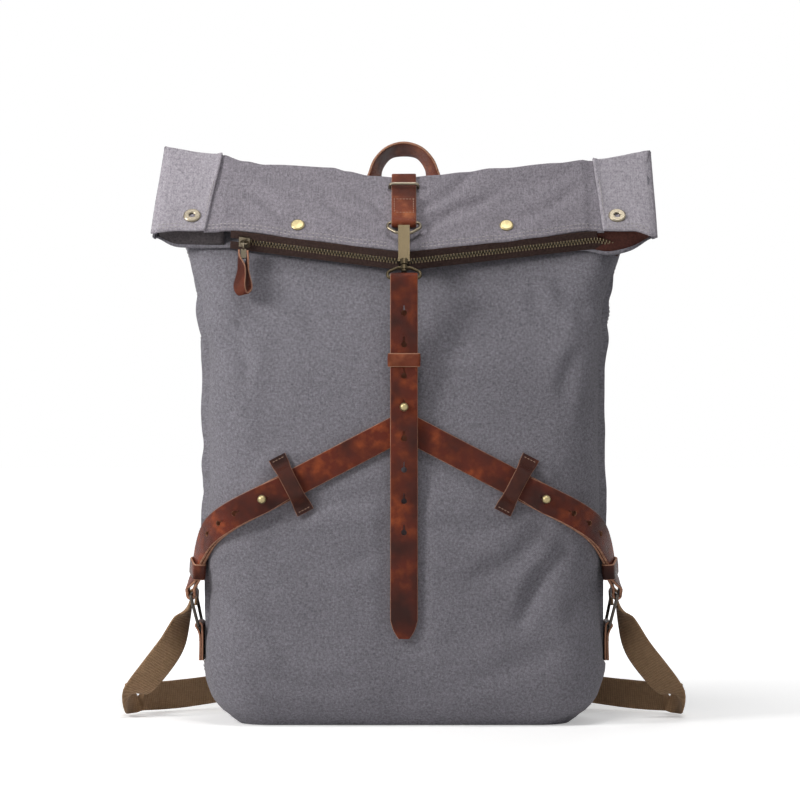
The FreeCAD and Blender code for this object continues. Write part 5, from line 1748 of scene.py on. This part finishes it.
def pad_route():
    """Stations of the left padded strap, from its root under the patch to its lower end."""
    top = on_slope(-22, PLAY + 2.0, -34 - 13)
    rest = PAD_THICK / 2 + 0.8
    root, face = behind(-24, 372, 2.0 + PLAY)
    full, full_face = behind(-26, 357, rest + 1.8)
    hidden = on_slope(-22, 1.5, -42.8)
    return [
        (hidden, face), (top, face), (root, face), (full, full_face),
        (behind(-31, 330, rest + 1.0)[0], Vector((0, 1, 0.15))),
        (behind(-41, 296, rest + 1.6)[0], Vector((0, 1, 0.1))),
        (behind(-47, 270, rest + 2.0)[0], BACK),
        (behind(-58, 225, rest + 2.0)[0], BACK),
        (behind(-68, 178, rest + 1.0)[0], BACK),
    ]


def pad_body(name, side):
    """A crowned padded strap: a lofted pillow that tapers at both ends."""
    route = pad_route()
    widths = [24, 26, 30, 43, 52, 57, 57, 56, 34]
    depths = [2.0, 3.4, 4.0, 7.4, 9.2, 9.8, 9.8, 9.4, 5.0]
    fine = smooth_route([(p, n, w) for (p, n), w in zip(route, widths)], 3.4)
    thick = smooth_route([(p, n, d) for (p, n), d in zip(route, depths)], 3.4)
    rings = []
    middle = [point for point, _, _ in fine]
    for i, ((point, normal, wide), (_, _, depth)) in enumerate(zip(fine, thick)):
        along = heading_at(middle, i)
        across = normal.cross(along).normalized()
        face = along.cross(across).normalized()
        ring = []
        for k in range(28):
            turn = 2 * math.pi * k / 28
            c, s = math.cos(turn), math.sin(turn)
            a = math.copysign(abs(c) ** 0.75, c) * wide / 2
            b = math.copysign(abs(s) ** 0.72, s) * depth / 2
            ring.append(point + across * a + face * b)
        rings.append(ring)
    points = [p for ring in rings for p in ring]
    faces = grid_faces(len(rings), 28, True)
    faces += end_caps(len(rings), 28)
    if side > 0:
        points, faces = flipped(points, faces)
    return piece(name, points, faces, PAD_CLOTH), fine


CLOTH_FRAMES = 20


def swollen(made, pressure=3.2, cap=2.2):
    """Lets the padding swell under its cover, by cap millimetres at most, and keeps the result."""
    before = made.modifiers.new("grid", "REMESH")
    before.mode = "VOXEL"
    before.voxel_size = 0.0036
    before.use_smooth_shade = True
    applied(made)
    rest = [v.co.copy() for v in made.data.vertices]
    cloth = made.modifiers.new("cloth", "CLOTH")
    cloth.settings.quality = 4
    cloth.settings.mass = 0.25
    cloth.settings.use_pressure = True
    cloth.settings.uniform_pressure_force = pressure
    cloth.settings.tension_stiffness = 18
    cloth.settings.compression_stiffness = 18
    cloth.settings.bending_stiffness = 0.8
    cloth.settings.effector_weights.gravity = 0.0
    cloth.point_cache.frame_start = 1
    cloth.point_cache.frame_end = CLOTH_FRAMES
    scene = bpy.context.scene
    for number in range(1, CLOTH_FRAMES + 1):
        scene.frame_set(number)
    view = bpy.context.evaluated_depsgraph_get()
    swelled = [v.co.copy() for v in made.evaluated_get(view).data.vertices]
    made.modifiers.clear()
    scene.frame_set(1)
    for vertex, low, high in zip(made.data.vertices, rest, swelled):
        move = high - low
        if move.length > cap * MM:
            move = move.normalized() * cap * MM
        vertex.co = low + move
    made.data.update()


def shoulder_straps():
    """The padded straps, sewn along both edges and swollen by a cloth simulation."""
    for side, word in SIDES:
        made, fine = pad_body(f"padded_strap_{word}", side)
        swollen(made)
        refined(made, 1)
        made.data.polygons.foreach_set("use_smooth", [True] * len(made.data.polygons))
        groove(made, fine, side)
        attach(made, f"shoulder_{word}")
        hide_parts(f"shoulder_pad_{word}")
        lines = []
        middle = [point for point, _, _ in fine]
        for edge in (-1, 1):
            line = []
            for i, (point, normal, wide) in enumerate(fine):
                if i < 4 or i > len(fine) - 3:
                    continue
                along = heading_at(middle, i)
                across = normal.cross(along).normalized()
                face = along.cross(across).normalized()
                spot = point + across * (wide / 2 - PAD_SEAM) * edge
                hit = surface_height(made, side, spot + face * 20, -face)
                if hit is not None:
                    line.append((hit + face * 0.1, face))
            lines.append(line if side < 0 else mirror_line(line))
        stitch_piece(f"pad_stitches_{word}", lines, f"shoulder_{word}", THREAD, "pad_canvas")
        end_tab(side, word)


def surface_height(made, side, start, heading):
    """The point where a ray from the left-hand side's copy meets a piece, as on the left."""
    begin = Vector((start.x * -side, start.y, start.z)) * MM
    way = Vector((heading.x * -side, heading.y, heading.z))
    found, place, _, _ = made.ray_cast(begin, way, distance=0.05)
    if not found:
        return None
    return Vector((place.x * -side, place.y, place.z)) / MM


def groove(made, fine, side):
    """The sewn channel that runs inside both edges of a padded strap."""
    middle = [(Vector((p.x * -side, p.y, p.z)), n, w) for p, n, w in fine]
    for vertex in made.data.vertices:
        spot = vertex.co / MM
        point, _, wide = min(middle, key=lambda row: (row[0] - spot).length_squared)
        gone = spot - point
        flat = Vector((gone.x, 0, gone.z)).length
        away = abs(flat - (wide / 2 - PAD_SEAM))
        dip = math.exp(-((away / 1.5) ** 2)) * 1.1
        if wide > 34:
            vertex.co -= Vector((0, math.copysign(dip, gone.y), 0)) * MM
    made.data.update()


TAB_BAR, MIDDLE_BAR, LOWER_BAR = 26, 36, 46


def tab_frame():
    """The left padded strap's lower end, and its axes there."""
    route = pad_route()
    start, end = route[-2][0], route[-1][0]
    heading = (end - start).normalized()
    across = BACK.cross(heading).normalized()
    out = heading.cross(across)
    return end, heading, across, out


def end_tab(side, word):
    """The leather end that folds round the slide buckle's upper bar."""
    end, heading, across, out = tab_frame()
    bar = end + heading * TAB_BAR
    reach = 1.5 + PLAY + LEATHER / 2
    lap, straddle = 7.0, 4.4
    route = [
        end - heading * lap - out * straddle,
        end + heading * 3 - out * 3.9,
        end + heading * 11 - out * 2.8,
        end + heading * 18 - out * reach * 0.8,
    ]
    for step in range(9):
        turn = math.pi * step / 8
        route.append(bar + (out * -math.cos(turn) + heading * math.sin(turn)) * reach)
    route.append(end + heading * 18 + out * reach * 0.9)
    route.append(end + heading * 8 + out * 3.4)
    route.append(end - heading * lap + out * (straddle + 0.3))
    stations = []
    for i, point in enumerate(route):
        stations.append((point, heading_at(route, i).cross(across) * -1))
    band(f"strap_end_{word}", stations, 26.0, LEATHER, (HIDE, EDGE, HIDE_WARM), f"shoulder_{word}",
         (f"strap_end_tab_{word}",), spacing=1.6, side=side, ripple=0.15, seed=31)


def lower_webbing(side, word):
    """Webbing through the slide buckle, over the floor and up to the side ring."""
    end, heading, _, out = tab_frame()
    low = end + heading * LOWER_BAR
    thick, width = 2.0, 25.0
    reach = 1.3 + PLAY + thick / 2
    ring_y = -17 + 31 - width / 2 - 5
    edge = width / 2 + 0.6
    start = low + heading * (1.5 + PLAY + thick / 2 + 0.2)
    middle = end + heading * MIDDLE_BAR
    route = [
        (low + heading * 13 + out * 4.6, -out),
        (low + heading * 6 + out * 4.1, -out),
        (low + out * 3.1, -out),
        (low - heading * 5 + out * 2.8, -out),
    ]
    for step in range(7):
        turn = math.pi * step / 6
        arm = out * math.cos(turn) - heading * math.sin(turn)
        route.append((middle + arm * reach, -arm))
    route += [
        (low - heading * 4 - out * 2.7, out),
        (low + out * -2.8, out),
        (low + heading * 8 - out * 1.2, out),
        (start + heading * 14 + out * 1.0, out),
        (Vector((-82, 84, 72)), Vector((0.1, 1, 0.2))),
        (Vector((-98, 92, 40)), Vector((0, 1, 0.5))),
        (Vector((-122, 92, 23)), Vector((-0.15, 1, 0.45))),
        (Vector((-155, 82, edge + 4)), Vector((0.35, 1, 0.3))),
        (Vector((-190, 62, edge + 1)), Vector((0.5, 1, 0.15))),
        (Vector((-217, 42, edge + 0.6)), Vector((0.6, 0.8, 0.08))),
        (Vector((-227, 31, edge + 0.5)), Vector((0.9, 0.45, 0.04))),
        (Vector((-230, 20, edge + 1.2)), Vector((1, -0.05, 0.05))),
        (Vector((-227, 11, edge + 4.5)), Vector((0.92, -0.5, 0.1))),
        (Vector((-219, 5, edge + 11)), Vector((0.78, -0.72, 0.2))),
        (Vector((-207, 1, 38)), Vector((0.68, -0.8, 0.3))),
        (Vector((-191, -2, 60)), Vector((0.7, -0.75, 0.25))),
        (Vector((-181, 1, 84)), Vector((1, -0.4, 0.05))),
        (Vector((-172 - reach, ring_y, 98)), Vector((1, 0, 0))),
    ]
    for step in range(9):
        turn = math.pi * step / 8
        arm = Vector((-math.cos(turn), 0, math.sin(turn))) * reach
        route.append((Vector((-172, ring_y, 104)) + arm, Vector((-arm.x, 0, -arm.z)).normalized()))
    route.append((Vector((-172 + reach * 0.75, ring_y, 94)), Vector((-1, 0, 0))))
    made = band(f"webbing_{word}", route, width, thick, (BELT, BELT, BELT), None,
                (f"lower_webbing_{word}",), spacing=2.4, side=side, ripple=0.5, seed=41 + side)
    for vertex in made.data.vertices:
        vertex.co.z = max(vertex.co.z, 0.0003)
    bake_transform(made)


# ------------------------------------------------------------------ inside


def inside():
    """Cotton lining, back foam and the laptop sleeve."""
    heights = [4, 12, 24, 36]
    while heights[-1] < 400:
        heights.append(heights[-1] + 11)
    points = []
    columns = sum(count // 2 for _, count in STRETCHES)
    for height in heights:
        for kind, count in STRETCHES:
            for k in range(count // 2):
                point, out = section_point(kind, k / (count // 2), height)
                inset = 4.0 if kind != "back" or not 36 < height < 330 else 9.6
                points.append(point + out * (bag_rise(point, out) - inset))
    faces = grid_faces(len(heights), columns, True)
    faces.append(tuple(reversed(range(columns))))
    made = piece("cotton_lining", points, faces, RUST_LINING, "bag", ("lining",))
    thickened(made, 0.7)
    rows, cols = 22, 16
    for name, paint, slot, node, depth, thick, reach, low, high in (
        ("foam_sheet", FOAM, "foam", "back_foam", 3.0, 4.6, 107, 44, 316),
        ("sleeve_cloth", RUST_LINING, "lining_cloth", "laptop_sleeve", 11.4, 1.5, 114, 39, 302),
    ):
        points = []
        for i in range(rows):
            z = low + (high - low) * i / (rows - 1)
            for j in range(cols):
                x = -reach + 2 * reach * j / (cols - 1)
                y = soft_level("back", z) - depth
                if node == "laptop_sleeve":
                    y = min(y, 61 - 11.2)
                    y -= 0.8 * math.sin(math.pi * j / (cols - 1)) * (i / (rows - 1))
                points.append(Vector((x, y, z)))
        faces = turned_over(grid_faces(rows, cols))
        made = piece(name, points, faces, paint, "bag", (node,))
        thickened(made, thick)


# ------------------------------------------------------------------ finishes of the metal pieces


def finish_nodes():
    """Gives every carried-over CAD node its own aged metal."""
    looks = {
        "d_ring": STEEL, "strap_slide": PEWTER, "hook_body": OLD_BRASS, "hook_gate": OLD_BRASS,
        "gate_pin": STEEL, "swivel_eye": OLD_BRASS, "closure_stud": CAP_BRASS, "zip_slider": STEEL,
        "pull_link": STEEL, "base_board": BOARD,
    }
    for _, word in SIDES:
        looks[f"side_ring_{word}"] = DULL
        looks[f"cross_stud_{word}"] = CAP_BRASS
        looks[f"rivet_cap_{word}"] = CAP_BRASS
        looks[f"snap_ring_{word}"] = PEWTER
        looks[f"slide_buckle_{word}"] = STEEL
    for name, paint in looks.items():
        for slot in bpy.data.objects[name].material_slots:
            slot.material = paint


set_stage()
bag_shell()
bag_seams()
flap_cloth()
for side, word in SIDES:
    wing_cloth(side, word)
inner_cloth()
wing_ends()
corner_linings()
flap_stitching()
zip_pieces()
flap_strap()
leather_pull()
closure_strap()
closure_keeper()
for side, word in SIDES:
    cross_strap(side, word)
    bridge_keeper(side, word)
    roll_keeper(side, word)
    side_tab(side, word)
    lower_webbing(side, word)
handle()
back_patch()
shoulder_straps()
inside()
finish_nodes()
